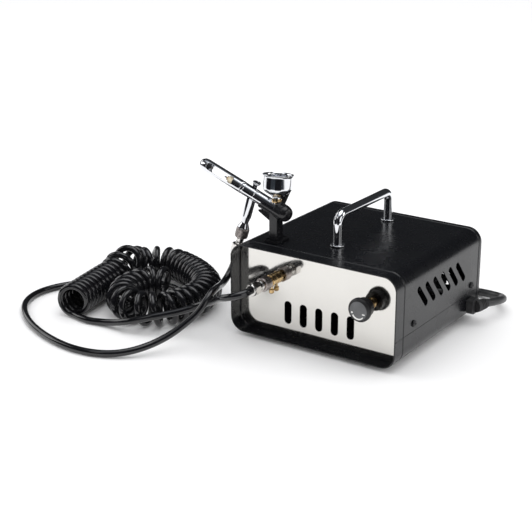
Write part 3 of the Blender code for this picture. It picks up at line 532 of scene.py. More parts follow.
SUPPLY_ROUTE = [(37.1, -23.2, 51), (37.1, -25.2, 51), (35.3, -31.8, 50.5), (30.2, -37, 49.1),
                (22.6, -38.2, 46.6), (13, -33.6, 42.5), (4.4, -26.2, 36.8), (-4.5, -20.6, 31.6),
                (-15, -18.4, 26.5), (-26, -21.2, 21.2), (-36, -29, 17.6), (-46, -36, 15),
                (-58, -44, 12), (-76, -51, 6.6), (-92, -51.5, 2.2), (-107, -52.5, -0.3),
                (-122, -55, -0.85)]
CURL_ROUTE = [(-141, -52), (-146, -26), (-151.5, 2), (-155.5, 29), (-156, 53), (-146, 73),
              (-127, 79), (-105, 74), (-82, 63), (-62, 46), (-52, 22), (-53, -2), (-62, -22),
              (-81, -31), (-102, -25), (-115, -7), (-117, 12), (-111, 28), (-98, 32)]
CURL_LIFT_AT, CURL_LIFT, CURL_LIFT_SPREAD = (-156.0, 42.0), 7.0, 25.0
CURL_MEAN = CURL_RADIUS - HOSE_RADIUS
CURL_PITCH, CURL_REACH = 6.55, 7
TURN_POINTS = 24
BRUSH_ROUTE = [(-94, 44, -0.85), (-100, 51.5, -0.85), (-112, 55, -0.85),
               (-127, 55, -0.85), (-144, 50.5, -0.85), (-161, 40.5, -0.85), (-178, 26.5, -0.85),
               (-193, 9, -0.85), (-203, -11, -0.85), (-205.5, -32, -0.85), (-198.5, -53, -0.85),
               (-182, -72, -0.85), (-158, -89, -0.85), (-129, -102, -0.85), (-98, -109.5, -0.85),
               (-73, -109, -0.85), (-53, -102, -0.3), (-38.5, -90.5, 1.8), (-28, -75.5, 5.4),
               (-19.5, -62, 11.2), (-12, -50.5, 19.2), (-6, -41.5, 27.4), (-2.4, -33, 36.8),
               (-2.8, -24, 41.4), (-5.8, -14, 41.2), (-9.8, -4, 39.4), (-13.6, 6.5, 38),
               (-16.2, 16, 39.4), (-16.9, 23, 43.8)]


def curl_middle():
    """The middle line of the curly stretch, raised where it lies over the plain hose."""
    middle = []
    for point in smooth_route([(x, y, 0) for x, y in CURL_ROUTE], 1.0):
        away = hypot(point.x - CURL_LIFT_AT[0], point.y - CURL_LIFT_AT[1])
        hump = max(0.0, 1 - (away / CURL_LIFT_SPREAD) ** 2) ** 2
        middle.append(Vector((point.x, point.y, FLOOR + CURL_RADIUS + GAP + CURL_LIFT * hump)))
    return middle


def curl_turns():
    """The helix: its turns touch where it is straight and fan out where it bends."""
    middle = curl_middle()
    count = len(middle)
    turned_by, headings = [0.0], []
    for i in range(count):
        ahead = middle[min(i + 1, count - 1)] - middle[max(i - 1, 0)]
        headings.append(ahead.normalized())
    for i in range(1, count):
        step = (middle[i] - middle[i - 1]).length
        before, after = max(i - CURL_REACH, 0), min(i + CURL_REACH, count - 1)
        bend = headings[before].angle(headings[after], 0.0) / ((after - before) * step)
        pitch = CURL_PITCH / max(1 - CURL_MEAN * bend, 0.5)
        turned_by.append(turned_by[-1] + step / pitch)
    turns = round(turned_by[-1])
    stretch = turns / turned_by[-1]
    points, i = [], 0
    for n in range(turns * TURN_POINTS + 1):
        target = n / TURN_POINTS / stretch
        while i < count - 2 and turned_by[i + 1] < target:
            i += 1
        share = min((target - turned_by[i]) / (turned_by[i + 1] - turned_by[i]), 1.0)
        centre = middle[i].lerp(middle[i + 1], share)
        along = headings[i].lerp(headings[i + 1], share).normalized()
        side = along.cross(Vector((0, 0, 1))).normalized()
        rise = side.cross(along)
        angle = -pi / 2 - 2 * pi * n / TURN_POINTS
        points.append(centre + (side * cos(angle) + rise * sin(angle)) * CURL_MEAN)
    return points


def brush_point(along, side=0.0, up=0.0):
    return BRUSH @ Vector((along, side, up))


def build_air_hose():
    curl = curl_turns()
    supply = smooth_route(SUPPLY_ROUTE + [curl[0], curl[2]], 4.0)
    supply = supply[:min(range(len(supply)), key=lambda i: (supply[i] - curl[0]).length)]
    ends = [brush_point(VALVE_AT, 0, -70), brush_point(VALVE_AT, 0, -62)]
    brush = smooth_route([curl[-3], curl[-1]] + BRUSH_ROUTE + ends, 4.0)
    brush = brush[min(range(len(brush)), key=lambda i: (brush[i] - curl[-1]).length) + 1:]
    points = supply + curl + brush
    hose = tube("air_hose", points, HOSE_RADIUS, HOSE)
    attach(hose, "case")
    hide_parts("supply_hose", "curly_hose", "brush_hose")


# ---------------------------------------------------------------- mains lead

LEAD_ROUTE = [LEAD_START, (179.6, 160.5, 13.4), (180.6, 171.5, 11.6), (178.2, 183, 8.6),
              (171.6, 193.5, 5.4), (161, 201.5, 2.6), (148, 206, 0.8), (134, 206.5, -0.2),
              (119, 202.5, -0.3), (104, 195.5, -0.3), (89, 188, -0.3), (74, 182, -0.3), (59, 179.2, -0.3)]


def coil_turns():
    """The lead's turns, three side by side on the floor and three on top of them."""
    stations = [(-83, 57.2, -0.3), (-128, 50.5, -0.3), (-180, 48.7, -0.3), (-420, 48.7, -0.3),
                (-480, 41.2, -0.3), (-780, 41.2, -0.3), (-840, 33.6, -0.3), (-1140, 33.6, -0.3),
                (-1200, 35.0, 7.2), (-1500, 35.0, 7.2), (-1560, 42.5, 7.2), (-1860, 42.5, 7.2),
                (-1920, 48.6, 7.2), (-2270, 48.6, 7.2), (-2335, 46.0, 14.8), (-2395, 39.8, 19.8)]
    points = []
    for (a0, r0, z0), (a1, r1, z1) in zip(stations, stations[1:]):
        steps = max(2, round(abs(a1 - a0) / 15))
        for i in range(steps):
            t = i / steps
            ease = t * t * (3 - 2 * t)
            angle, radius = radians(a0 + (a1 - a0) * t), r0 + (r1 - r0) * ease
            turn = Vector((radius * cos(angle), radius * sin(angle), z0 + (z1 - z0) * ease))
            points.append(COIL_CENTRE + turn)
    return points


def build_mains_lead():
    coil = coil_turns()
    ends = [PLUG_BACK - Vector((8, 0.4, 0.8)), PLUG_BACK - Vector((1, 0, 0))]
    points = smooth_route([Vector(p) for p in LEAD_ROUTE] + coil + ends, 5.0)
    lead = tube("mains_lead_whole", points, LEAD_RADIUS, PVC)
    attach(lead, "case")
    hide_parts("mains_lead", "mains_coil")
    return lead, points


build_air_hose()
mains_lead, lead_points = build_mains_lead()


# ---------------------------------------------------------------- case

def channel(edge, far):
    """A sheet channel along Y with a formed bead near each end and softly rounded rims."""
    away = 1 if far > edge else -1
    centre_z = far - away * CORNER
    sweep = (180, 90) if away > 0 else (180, 270)

    def half(radius, lip):
        turn_left = arc((CORNER, centre_z), radius, *sweep, 16)
        turn_right = [(WIDTH - x, z) for x, z in reversed(turn_left)]
        low = edge + away * lip
        return [(CORNER - radius, low)] + turn_left + turn_right + [(WIDTH - CORNER + radius, low)]

    stations = [(0.0, 0.35, 0.35), (0.1, 0.12, 0.12), (0.4, 0.0, 0.0)]
    for bead in BEADS:
        for k in range(-4, 5):
            dent = BEAD_DEPTH * (0.5 + 0.5 * cos(pi * k / 4))
            stations.append((bead + 0.3 * k, dent, -dent))
    stations += [(DEPTH - 0.4, 0.0, 0.0), (DEPTH - 0.1, 0.12, 0.12), (DEPTH, 0.35, 0.35)]
    sections = []
    for y, outer, inner in stations:
        outline = half(CORNER - outer, 0.0) + list(reversed(half(CORNER - SHEET + inner, 0.0)))
        sections.append([(x, y, z) for x, z in outline])
    return loft(sections)


def side_vents():
    slots = []
    for number in range(6):
        step = number * 14.3
        outline = slot((38.5 + step, 60.2), (52.4 + step, 44.4), 2.9)
        slots.append(prism([(-3, y, z) for y, z in outline], (12, 0, 0)))
        slots.append(prism([(WIDTH - 9, y, z) for y, z in outline], (12, 0, 0)))
    return slots


def build_case():
    cover = raw("case_cover", channel(SEAM, HEIGHT))
    bores = [rod(1.8, (-3, y, SCREW_Z), (WIDTH + 3, y, SCREW_Z)) for y in SCREW_Y]
    bores += [rod(2.6, (HANDLE_X, y, HEIGHT - 3), (HANDLE_X, y, HEIGHT + 3)) for y in HANDLE_Y]
    carve(cover, *side_vents(), *bores)
    finish(cover, PAINT, "case", ["top_cover"], bevel=0.28)

    tray = raw("case_tray", channel(SEAM - GAP, 0.0))
    carve(tray, *[rod(2.6, (x, y, -3), (x, y, 4)) for x, y in FEET])
    finish(tray, PAINT, "case", ["bottom_tray"], bevel=0.22)
    for side in (0, 1):
        for number, (front, rear) in enumerate(((28.2, 38.2), (133.6, 146.6))):
            section = [(1.3, 12), (2.7, 12), (2.7, 39), (1.5, 39), (1.5, SEAM - 1), (1.3, SEAM - 1)]
            tab = wall([(WIDTH - x if side else x, z) for x, z in section], front, rear - front)
            solid(f"tray_tab_{side}_{number}", tab, PAINT, bevel=0.2)


def side_screw(name, x, y, outward):
    """A low domed head with a six-sided socket, its rim just proud of the sheet."""
    profile = eased([(0, 2.15), (1.7, 2.0), (2.75, 1.25), (3.0, GAP), (1.5, GAP), (1.5, -6), (0, -6)], 0.3)
    screw = raw(name, turned(profile, (x, y, SCREW_Z), (outward, 0, 0), 40))
    socket = turned([(0, 0.9), (1.15, 0.9), (1.15, 4), (0, 4)], (x, y, SCREW_Z), (outward, 0, 0), 6)
    carve(screw, socket)
    finish(screw, PLASTIC, "case", [f"side_screw_{name[11:]}"], bevel=0.08)


def build_fasteners():
    for side, x, outward in (("left", 0.0, -1), ("right", WIDTH, 1)):
        for place, y in zip(("front", "rear"), SCREW_Y):
            side_screw(f"case_screw_{side}_{place}", x, y, outward)
    for number, (x, y) in enumerate(FEET, 1):
        profile = [(0, FLOOR), (6.3, FLOOR), (7.0, FLOOR + 0.8), (6.4, -GAP), (2.3, -GAP), (2.3, SHEET + GAP),
                   (3.4, SHEET + 0.8), (1.6, SHEET + 3.5), (0, SHEET + 3.5)]
        foot = turned(eased(profile, 0.4), (x, y, 0))
        solid(f"foot_{number}", foot, RUBBER, "case", [f"rubber_foot_{number}"])


def end_panel(name, node, y, inset, cuts, material):
    outline = rounded(inset, WIDTH - inset, inset, HEIGHT - inset, CORNER - inset, 14)
    panel = raw(name, wall(outline, y, PANEL_SHEET))
    carve(panel, *cuts)
    finish(panel, material, "case", [node], bevel=0.18)


def build_panels():
    cuts = [rod(3.9, (OUTLET_X, 8, OUTLET_Z), (OUTLET_X, 20, OUTLET_Z)),
            rod(3.4, (KNOB_X, 8, KNOB_Z), (KNOB_X, 20, KNOB_Z))]
    for number in range(5):
        x = 51.7 + 15.75 * number
        cuts.append(wall(slot((x, 15.8), (x, 29.6), 3.6, 14), 8, 12))
    end_panel("mirror_panel", "front_panel", PANEL_FRONT, SHEET + BEAD_DEPTH + GAP, cuts, MIRROR)

    window = rounded(SWITCH_X - 9.9, SWITCH_X + 9.9, SWITCH_Z - 6.9, SWITCH_Z + 6.9, 1.0, 4)
    cuts = [wall(window, PANEL_REAR - 5, 12)]
    for number in range(6):
        z = 18 + 9 * number
        cuts.append(wall(slot((78, z), (138, z), 1.8), PANEL_REAR - 5, 12))
    end_panel("rear_grille", "rear_panel", PANEL_REAR, SHEET + GAP, cuts, PAINT)


def build_handle():
    front, rear = HANDLE_Y
    top, foot, bend = HANDLE_Z, HEIGHT + 1.3 + 2 * GAP, HANDLE_BEND
    path = [(front, foot), (front, foot + 0.3), (front, foot + 8)]
    path += arc((front + bend, top - bend), bend, 180, 90, 18)
    path += arc((rear - bend, top - bend), bend, 90, 0, 18)
    path += [(rear, foot + 8), (rear, foot + 0.3), (rear, foot)]
    points = [Vector((HANDLE_X, y, z)) for y, z in path]
    sections = []
    for i, point in enumerate(points):
        ahead = points[min(i + 1, len(points) - 1)] - points[max(i - 1, 0)]
        side = Vector((1, 0, 0))
        upward = ahead.normalized().cross(side)
        radius = HANDLE_RADIUS - (0.3 if i in (0, len(points) - 1) else 0)
        ring = [2 * pi * k / 48 for k in range(48)]
        sections.append([point + (side * cos(t) + upward * sin(t)) * radius for t in ring])
    solid("handle_bar", loft(sections), CHROME, "case", ["carry_handle"])
    for name, y in zip(("front", "rear"), HANDLE_Y):
        profile = [(6.5, GAP), (6.5, GAP + 1.3), (4.3, GAP + 1.3), (2.4, GAP + 1.2), (2.4, GAP)]
        washer = turned(eased(profile, 0.45, True), (HANDLE_X, y, HEIGHT), (0, 0, 1), 72, ring=True)
        solid(f"washer_{name}", washer, CHROME, "case", [f"handle_washer_{name}"])


# ---------------------------------------------------------------- holder

def holder_blade():
    outline = [(-1.6, -2.0), (-1.1, 1.8), (0.0, 14.4), (4.7, 11.6), (5.7, 4.2), (7.9, 3.6), (7.2, -1.5)]
    inner = [(x, -7.1 - 0.34 * z, z) for x, z in outline]
    outer = [(x, y - 3.0, z) for x, y, z in inner]
    return loft([outer, inner])


def build_holder():
    low = HEIGHT + GAP
    base = rounded(HOLDER_X - 7.5, HOLDER_X + 7.5, HOLDER_Y - 9.7, HOLDER_Y + 9.7, 1.6, 6)
    rim = rounded(HOLDER_X - 6.3, HOLDER_X + 6.3, HOLDER_Y - 8.5, HOLDER_Y + 8.5, 1.0, 6)
    holder = raw("holder", slab(base, low, 2.0))
    carve(holder, slab(rim, low + 1.3, 3.0))
    post = rounded(HOLDER_X - 4.2, HOLDER_X + 4.2, POST_Y - 5, POST_Y + 5, 0.9, 5)
    carve(holder, slab(post, low + 0.6, 28.7), operation="UNION")
    carve(holder, rod(6.7, (-22, 0, 0), (14, 0, 0), 64), turn=BRUSH)
    profile = [(0, -18.6), (4.5, -17.7), (6.3, -16.0), (7.4, -12.5), (7.4, -4.6), (6.1, -4.6), (6.1, -12.2),
               (3.4, -15.8), (0, -16.2)]
    cup = turned(eased(profile, 1.2, steps=5), axis=(1, 0, 0))
    sections = []
    for along, half in ((-8.2, 95), (9.0, 95), (12.5, 82), (14.2, 60)):
        outer = arc((0, 0), 7.25, 270 - half, 270 + half, 40)
        inner = arc((0, 0), 6.25, 270 + half, 270 - half, 40)
        sections.append([(along, y, z) for y, z in outer + inner])
    outline = [(15.6, -9.0), (15.2, -10.2), (1.8, -12.2), (-3.5, -13.0), (-3.5, -6.8), (6.5, -6.8)]
    rib = wall(outline, -2.2, 4.4)
    carve(holder, cup, loft(sections), rib, holder_blade(), operation="UNION", turn=BRUSH)
    rivet_at, rivet_axis = (2.6, -10.3, 9.3), (0, 1, 0.34)
    dimple = eased([(0, -0.7), (1.1, -0.7), (1.5, 1.0), (0, 1.0)], 0.2)
    carve(holder, turned(dimple, rivet_at, rivet_axis, 24), turn=BRUSH)
    finish(holder, GLOSS_PLASTIC, "case", ["airbrush_holder"], bevel=0.35)
    rivet = eased([(0, -0.5), (0.8, -0.5), (0.8, -0.15), (0.4, 0.1), (0, 0.15)], 0.2)
    solid("holder_rivet", turned(rivet, rivet_at, rivet_axis, 24), ZINC, turn=BRUSH)


# ---------------------------------------------------------------- airbrush

def build_airbrush():
    along = (1, 0, 0)
    profile = [(1.6, -8), (4.9, -8), (BODY_RADIUS, -7.2), (BODY_RADIUS, 22.4), (5.45, 22.7), (5.45, 23.1),
               (BODY_RADIUS, 23.4), (BODY_RADIUS, 36.4), (5.35, 36.8), (5.35, 37.4), (BODY_RADIUS, 37.8),
               (BODY_RADIUS, 39.6), (5.2, 40.2), (1.6, 40.2)]
    body = raw("brush_body", turned(eased(profile, 0.15, True), axis=along, segments=72, ring=True), BRUSH)
    mouth = rounded(VALVE_AT - 3.2, VALVE_AT + 7.2, -2.1, 2.1, 1.9, 8)
    trigger_slot = slab(mouth, -2.2, 11.5)
    carve(body, trigger_slot, rod(2.6, (VALVE_AT, 0, -9), (VALVE_AT, 0, 1)), turn=BRUSH)
    finish(body, CHROME, "case", ["airbrush_body"], bevel=0.12)

    profile = eased([(1.0, -15.2), (2.2, -15.2), (4.6, -11.7), (4.9, -8.3), (1.0, -8.3)], 0.4, True)
    solid("nozzle", turned(profile, axis=along, ring=True), CHROME, "case", ["nozzle_cap"], BRUSH)

    profile = [(0, 97.8), (2.2, 97.5), (4.0, 96.2), (5.2, 94.2), (5.7, 91.8), (5.8, 89), (5.8, 41.2),
               (5.4, 40.5), (4.5, 40.5), (4.5, 88), (0, 88)]
    sleeve = raw("brush_handle", turned(eased(profile, 0.5, steps=4), axis=along, segments=72), BRUSH)
    window = [(51.5, -3.2)] + arc((84, 0), 3.2, -90, 90, 20) + [(51.5, 3.2)]
    lean = Matrix.Rotation(radians(25), 3, "X")
    outline = [lean @ Vector((x, -9, z)) for x, z in window]
    carve(sleeve, prism(outline, lean @ Vector((0, 18, 0))), turn=BRUSH)
    finish(sleeve, CHROME, "case", ["airbrush_handle"], bevel=0.15)

    profile = [(0, -14.4), (0.65, -4), (0.65, 65.6), (0.3, 66.0), (0, 66.0)]
    solid("needle_shaft", turned(profile, axis=along, segments=24), ZINC, "needle", ["needle"], BRUSH)
    grip = [(1.0, 52.4), (2.6, 52.4), (3.6, 53.4), (3.6, 58.6), (2.6, 59.9), (1.0, 59.9)]
    chuck = turned(eased(grip, 0.3, True), axis=along, segments=96, ring=True,
                   wobble=lambda angle, height: 0.09 * cos(24 * angle) if 53.6 < height < 58.4 else 0.0)
    solid("chuck", chuck, IVORY, "needle", ["needle_chuck"], BRUSH)
    collar = turned(eased([(0.9, 60.1), (2.2, 60.1), (2.2, 61.8), (0.9, 61.8)], 0.2, True), axis=along,
                    segments=6, ring=True)
    solid("chuck_collar", collar, BRASS, "needle", turn=BRUSH)

    lean = (sin(CUP_TILT), 0, cos(CUP_TILT))
    profile = [(1.3, 3.5), (4.0, 3.5), (4.0, 10.2), (5.4, 11.3), (9.5, 13.4), (11.6, 15.0), (12.5, 16.8),
               (12.6, 18), (12.6, 27.6), (13.0, 28.6), (13.7, 29.0), (13.75, 29.4), (13.6, 29.8),
               (13.1, 29.8), (12.4, 29.3), (11.9, 28.2), (11.8, 17.6), (11.2, 16.1), (8.8, 14.3),
               (3.0, 11.2), (1.3, 9.5)]
    cup = raw("cup", turned(eased(profile, 0.5, True, 4), (CUP_AT, 0, 0), lean, 96, ring=True), BRUSH)
    carve(cup, rod(BODY_RADIUS + 0.05, (-12, 0, 0), (12, 0, 0), 96), turn=BRUSH)
    finish(cup, CHROME, "case", ["paint_cup"], smooth=40)
    stem = raw("cup_stem_ring", turned(eased([(4.02, 5.2), (4.3, 5.2), (4.3, 8.6), (4.02, 8.6)], 0.12, True),
                                       (CUP_AT, 0, 0), lean, 72, ring=True), BRUSH)
    carve(stem, rod(BODY_RADIUS + 0.05, (-12, 0, 0), (12, 0, 0), 96), turn=BRUSH)
    finish(stem, BRASS)
    build_air_valve()


def build_air_valve():
    valve, down = (VALVE_AT, 0, 0), (0, 0, -1)
    profile = [(1.6, 2.5), (4.3, 2.5), (4.3, 22), (3.2, 27.5), (3.5, 28.5), (5.4, 32.4), (5.4, 32.9),
               (3.8, 33.1), (3.8, 41), (1.6, 41)]
    socket = raw("valve_body", turned(eased(profile, 0.5, True), valve, down, 72, ring=True), BRUSH)
    carve(socket, rod(BODY_RADIUS + 0.05, (VALVE_AT - 8, 0, 0), (VALVE_AT + 8, 0, 0), 96), turn=BRUSH)
    finish(socket, CHROME, "case", ["air_valve_body"], smooth=40)
    profile = eased([(0, 2.0), (1.2, 2.0), (1.2, 15), (0, 15)], 0.25)
    solid("valve_piston", turned(profile, valve, down, 32), BRASS, "air_piston", ["air_valve_piston"], BRUSH)

    stem = [(-0.7, -1.6), (0.7, -1.6), (1.2, -1.1), (1.2, 5.0), (1.0, 10.0), (-1.8, 10.0), (-1.2, 5.0),
            (-1.2, -1.1)]
    trigger = raw("finger_lever", wall([(VALVE_AT + x, z) for x, z in stem], -1.6, 3.2), BRUSH)
    profile = [(0, 8.2), (2.9, 9.2), (3.9, 10.8), (3.6, 11.9), (1.8, 11.3), (0, 11.1)]
    pad = turned(eased(profile, 0.6, steps=5), (VALVE_AT - 0.6, 0, 0), (-0.05, 0, 1), 64)
    carve(trigger, pad, operation="UNION", turn=BRUSH)
    carve(trigger, block((VALVE_AT - 3, -0.95, -3), (VALVE_AT + 3, 0.95, 3.9)), turn=BRUSH)
    finish(trigger, CHROME, "trigger", ["trigger"], bevel=0.15)

    profile = [(4.2, 33.4), (5.5, 33.4), (5.8, 34), (5.8, 41.6), (5.5, 42.2), (4.2, 42.2)]
    knurled_sleeve("brush_coupling", profile, valve, down, "brush_sleeve", BRUSH)
    profile = [(0, 41.3), (3.4, 41.3), (3.4, 46.0), (2.9, 46.3), (2.9, 46.9), (3.4, 47.2), (3.4, 49), (0, 49)]
    solid("brush_stub", turned(eased(profile, 0.2), valve, down), STEEL_NUT, "case", ["brush_tail"], BRUSH)
    hex_nut("brush_nut", valve, down, 49.3, 58.0, 61.7, "brush_hose_nut", BRUSH)


KNURL_DEPTH, KNURL_ROWS, KNURL_TWIST, KNURL_STEP = 0.16, 23, 3.9, 0.13


def knurled_sleeve(name, profile, base, axis, node, turn=None):
    """A sleeve with a diamond knurl between two plain lips."""
    radius, low, high = profile[2][0], *sorted((profile[2][1], profile[3][1]))
    count = round((high - low) / KNURL_STEP)
    rows = []
    for point in eased(profile, 0.25, True):
        if rows and abs(point.x - rows[-1].x) < 0.02 and abs(point.y - rows[-1].y) > 4:
            start = rows[-1]
            rows += [start.lerp(point, k / count) for k in range(1, count)]
        rows.append(point)
    shape = turned(rows, base, axis, 8 * KNURL_ROWS, ring=True)
    along, across, upward = frame_about(axis)
    for vert in shape.verts:
        offset = vert.co - Vector(base)
        height = offset.dot(along)
        flat = offset - along * height
        if flat.length > radius - 0.15 and low + 0.5 <= height <= high - 0.5:
            angle = 2 * pi + Vector((flat.dot(across), flat.dot(upward))).angle_signed(Vector((1, 0)))
            twist = (height - low) * KNURL_TWIST
            diamond = abs(sin(KNURL_ROWS * angle + twist)) * abs(sin(KNURL_ROWS * angle - twist))
            vert.co += flat.normalized() * KNURL_DEPTH * diamond
    solid(name, shape, NICKEL, node, [node], turn, smooth=70)


def hex_nut(name, base, axis, start, shoulder, end, node, turn=None):
    """A six-sided nut with turned chamfers and a tapered nose where the hose goes in."""
    bar = [(0, start - 1), (6.2, start - 1), (6.2, end + 1), (0, end + 1)]
    nut = raw(name, turned(bar, base, axis, 6), turn)
    outside = [(0, start), (5.3, start), (6.3, start + 0.7), (6.3, shoulder - 0.4), (5.6, shoulder),
               (4.9, end - 0.3), (4.4, end), (0, end)]
    carve(nut, turned(eased(outside, 0.25), base, axis, 72), operation="INTERSECT", turn=turn)
    finish(nut, STEEL_NUT, "case", [node], bevel=0.12)


# ---------------------------------------------------------------- front fittings

def build_outlet():
    forward, base = (0, -1, 0), (OUTLET_X, FITTING_Y, OUTLET_Z)
    profile = [(2.7, -36), (3.6, -36), (3.6, -26.4), (5.3, -26.4), (5.3, -24.9), (4.9, -24.5), (4.9, -21.6),
               (5.3, -21.2), (5.3, -20.2), (4.6, -19.6), (4.1, -19.6), (4.1, -8), (2.7, -8)]
    solid("outlet_body", turned(eased(profile, 0.2, True), base, forward, 72, ring=True), BRASS, "case",
          ["outlet_fitting"])
    profile = [(4.5, -16), (5.8, -16), (6.2, -15.4), (6.2, -7.6), (5.8, -7.0), (4.5, -7.0)]
    knurled_sleeve("outlet_coupling", profile, base, forward, "outlet_sleeve")
    profile = [(0, -15), (2.3, -15), (2.3, -7.7), (4.2, -7.0), (4.7, -6.4), (4.7, -4.4), (4.2, -4.0),
               (4.2, -3.2), (4.7, -2.8), (4.7, 0.0), (4.2, 0.4), (0, 0.4)]
    solid("outlet_plug", turned(eased(profile, 0.2), base, forward), STEEL_NUT, "case", ["outlet_tail"])
    hex_nut("outlet_nut", base, forward, 0.7, 7.0, 9.3, "outlet_hose_nut")
    profile = [(0, 5.7), (1.2, 5.7), (1.2, 8.0), (2.2, 8.4), (2.2, 11.6), (1.6, 12.2), (0, 12.2)]
    centre = (OUTLET_X, FITTING_Y + 22.8, OUTLET_Z)
    screw = turned(eased(profile, 0.2), centre, (0, 0, -1), 72,
                   wobble=lambda angle, height: 0.1 * cos(18 * angle) if 8.5 < height < 11.5 else 0.0)
    thing = raw("bleed_thumbscrew", screw)
    carve(thing, block((OUTLET_X - 3, FITTING_Y + 22.45, OUTLET_Z - 13),
                       (OUTLET_X + 3, FITTING_Y + 23.15, OUTLET_Z - 11.4)))
    finish(thing, BRASS, "bleed_screw", ["bleed_screw"], smooth=45)


def build_knob():
    forward, base = (0, -1, 0), (KNOB_X, FITTING_Y, KNOB_Z)
    profile = [(0, -7.6), (8.2, -7.6), (9.0, -7.9), (10.4, -9.2), (10.4, -12.2), (8.4, -13.2), (8.4, -19.7),
               (3.4, -19.7), (3.4, -11), (0, -11)]

    def flutes(angle, height):
        return -0.22 * max(0.0, cos(24 * angle)) if -19.4 < height < -13.4 else 0.0

    knob = turned(eased(profile, 0.5, steps=5), base, forward, 144, wobble=flutes)
    solid("knob_grip", knob, PLASTIC, "knob", ["pressure_knob"], smooth=50)
    face = turned(eased([(0, -7.45), (8.0, -7.45), (8.1, -7.7), (0, -7.7)], 0.08), base, forward, 96)
    solid("knob_cap", face, KNOB_FACE, "knob")
    marks = {
        "knob_dot": arc((-5.7, -2.2), 0.85, 0, 345, 23),
        "knob_dash": [(3.9, -2.8), (6.4, -2.8), (6.4, -1.9), (3.9, -1.9)],
        "knob_arc": arc((0, -2.0), 5.9, 205, 325, 32) + arc((0.3, -1.4), 5.2, 322, 206, 32),
    }
    for name, outline in marks.items():
        ink = wall([(KNOB_X + x, KNOB_Z + z) for x, z in outline], FITTING_Y + 7.38, 0.12)
        solid(name, ink, DIAL_WHITE, "knob")
    profile = [(0, -11.3), (3.1, -11.3), (3.1, -20.2), (4.8, -20.4), (4.8, -26.2), (3.0, -26.2),
               (3.0, -42), (0, -42)]
    solid("regulator_spindle", turned(eased(profile, 0.25), base, forward), BRASS, "knob", ["regulator_stem"])


# ---------------------------------------------------------------- rear of the case, lead and plug

def build_switch():
    rim = rounded(SWITCH_X - 11.5, SWITCH_X + 11.5, SWITCH_Z - 8, SWITCH_Z + 8, 1.5, 6)
    bezel = raw("switch_bezel", wall(rim, PANEL_REAR + 1.5, 1.8))
    carve(bezel, block((SWITCH_X - 9.5, PANEL_REAR - 14, SWITCH_Z - 6.5),
                       (SWITCH_X + 9.5, PANEL_REAR + 2, SWITCH_Z + 6.5)), operation="UNION")
    carve(bezel, block((SWITCH_X - 8, PANEL_REAR - 4, SWITCH_Z - 5.2),
                       (SWITCH_X + 8, PANEL_REAR + 6, SWITCH_Z + 5.2)))
    finish(bezel, PLASTIC, "case", ["switch_housing"], bevel=0.3)
    pivot, tilt = Vector((SWITCH_X, PANEL_REAR + 0.2, SWITCH_Z)), Matrix.Rotation(radians(9), 3, "Z")
    profile = [(-7.2, -0.6), (0, -2.2), (7.2, -0.6), (7.2, 3.4)]
    profile += [(7.2 - 1.2 * k, 2.4 + abs(7.2 - 1.2 * k) ** 2 / 51.84) for k in range(1, 12)] + [(-7.2, 3.4)]
    outline = [pivot + tilt @ Vector((x, y, -4.7)) for x, y in profile]
    solid("rocker_key", prism(outline, (0, 0, 9.4)), GLOSS_PLASTIC, "rocker", ["switch_rocker"], bevel=0.3)


def build_gland():
    """The moulded boot: a square root on the case and a ribbed taper down the lead."""
    outline = rounded(GLAND_Y - 4.5, GLAND_Y + 8.5, GLAND_Z - 6.8, GLAND_Z + 6.8, 3, 8)
    gland = raw("lead_boot", prism([(WIDTH + GAP, y, z) for y, z in outline], (6.4, 0, 0)))
    start, end = Vector((WIDTH + 7.2, GLAND_Y + 2.5, GLAND_Z)), Vector(LEAD_START)
    span = end - start
    length = span.length
    profile = [(0, -1.2), (5.7, -1.2), (5.7, 1.0)]
    for k in range(4):
        at, radius = 1.4 + k * (length - 3.2) / 4, 5.75 - 0.3 * k
        profile += [(radius, at), (radius, at + 1.6), (radius - 0.9, at + 1.9), (radius - 0.9, at + 2.7)]
    profile += [(4.4, length - 0.6), (4.0, length - 0.3), (0, length - 0.3)]
    carve(gland, turned(eased(profile, 0.25), start, span, 56), operation="UNION")
    finish(gland, RUBBER, "case", ["mains_gland"], bevel=0.25)


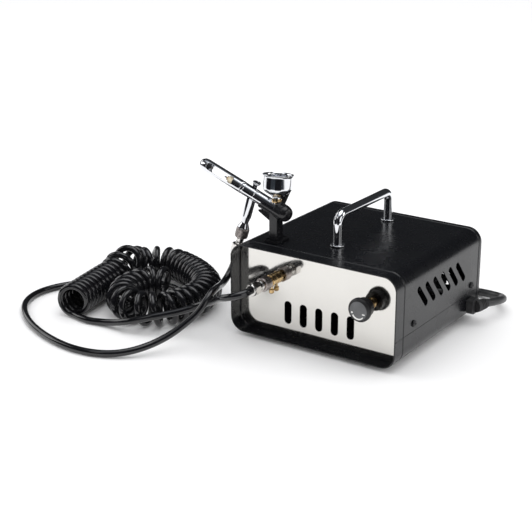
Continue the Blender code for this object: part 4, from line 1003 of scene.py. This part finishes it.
def build_plug():
    x, y = PLUG_BACK.x, PLUG_BACK.y
    low = FLOOR + 15.6 + GAP
    levels = [(0.0, 1.6), (0.5, 0.6), (1.6, 0.0), (16.4, 0.0), (17.5, 0.6), (18.0, 1.6)]
    sections = []
    for up, inset in levels:
        outline = rounded(x + inset, x + 50 - inset, y - 16 + inset, y + 16 - inset, 9 - inset * 0.6, 10)
        sections.append([(px, py, low + up) for px, py in outline])
    plug = raw("plug_shell", loft(sections))
    places = [(x + 8 + 4 * k, y + side * 17.3) for k in range(6) for side in (-1, 1)]
    carve(plug, *[rod(1.1, (px, py, low - 1), (px, py, low + 20), 20) for px, py in places])
    finish(plug, PLASTIC, "case", ["mains_plug"], bevel=0.3)
    for side in (-9, 9):
        blade = block((x + 49, y + side - 3, low + 7), (x + 67, y + side + 3, low + 11))
        solid(f"plug_pin_{'left' if side < 0 else 'right'}", blade, BRASS, bevel=0.9)


def build_tie():
    """A hook-and-loop strap round the coil."""
    heading = Vector((0, -1, 0))
    centre = COIL_CENTRE + heading * 40.6 + Vector((0, 0, 3.6))
    outer = rounded(-13.4, 13.2, -7.5, 8.9, 5.0, 10)
    inner = rounded(-12.4, 12.2, -6.9, 8.0, 4.2, 10)
    shape = bmesh.new()
    rings = []
    for across in (-5.5, 5.5):
        for outline in (outer, inner):
            rings.append([shape.verts.new(centre + heading * r + Vector((across, 0, z))) for r, z in outline])
    pairs = [(rings[0], rings[1]), (rings[1], rings[3]), (rings[3], rings[2]), (rings[2], rings[0])]
    for low, high in pairs:
        for i in range(len(low)):
            j = (i + 1) % len(low)
            shape.faces.new((low[i], low[j], high[j], high[i]))
    solid("coil_tie", shape, RUBBER, bevel=0.2)


def dress_hidden_nodes():
    """Procedural finishes for the pieces inside the case, which keep their CAD shape."""
    finishes = {
        ZINC: ["handle_screw_front", "handle_screw_rear", "holder_screw", "motor_bracket", "rotor_shaft",
               "crank", "bearing_left", "bearing_right"],
        ALLOY: ["regulator_body", "piston_rod", "cylinder", "cylinder_head"],
        LAMINATIONS: ["motor_stator"], COPPER: ["motor_windings"], PLASTIC: ["cooling_fan"],
        RUBBER: ["delivery_tube"],
    }
    for material, names in finishes.items():
        for name in names:
            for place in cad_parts[name].material_slots:
                place.material = material


build_case()
build_fasteners()
build_panels()
build_handle()
build_holder()
build_airbrush()
build_outlet()
build_knob()
build_switch()
build_gland()
build_plug()
build_tie()
dress_hidden_nodes()
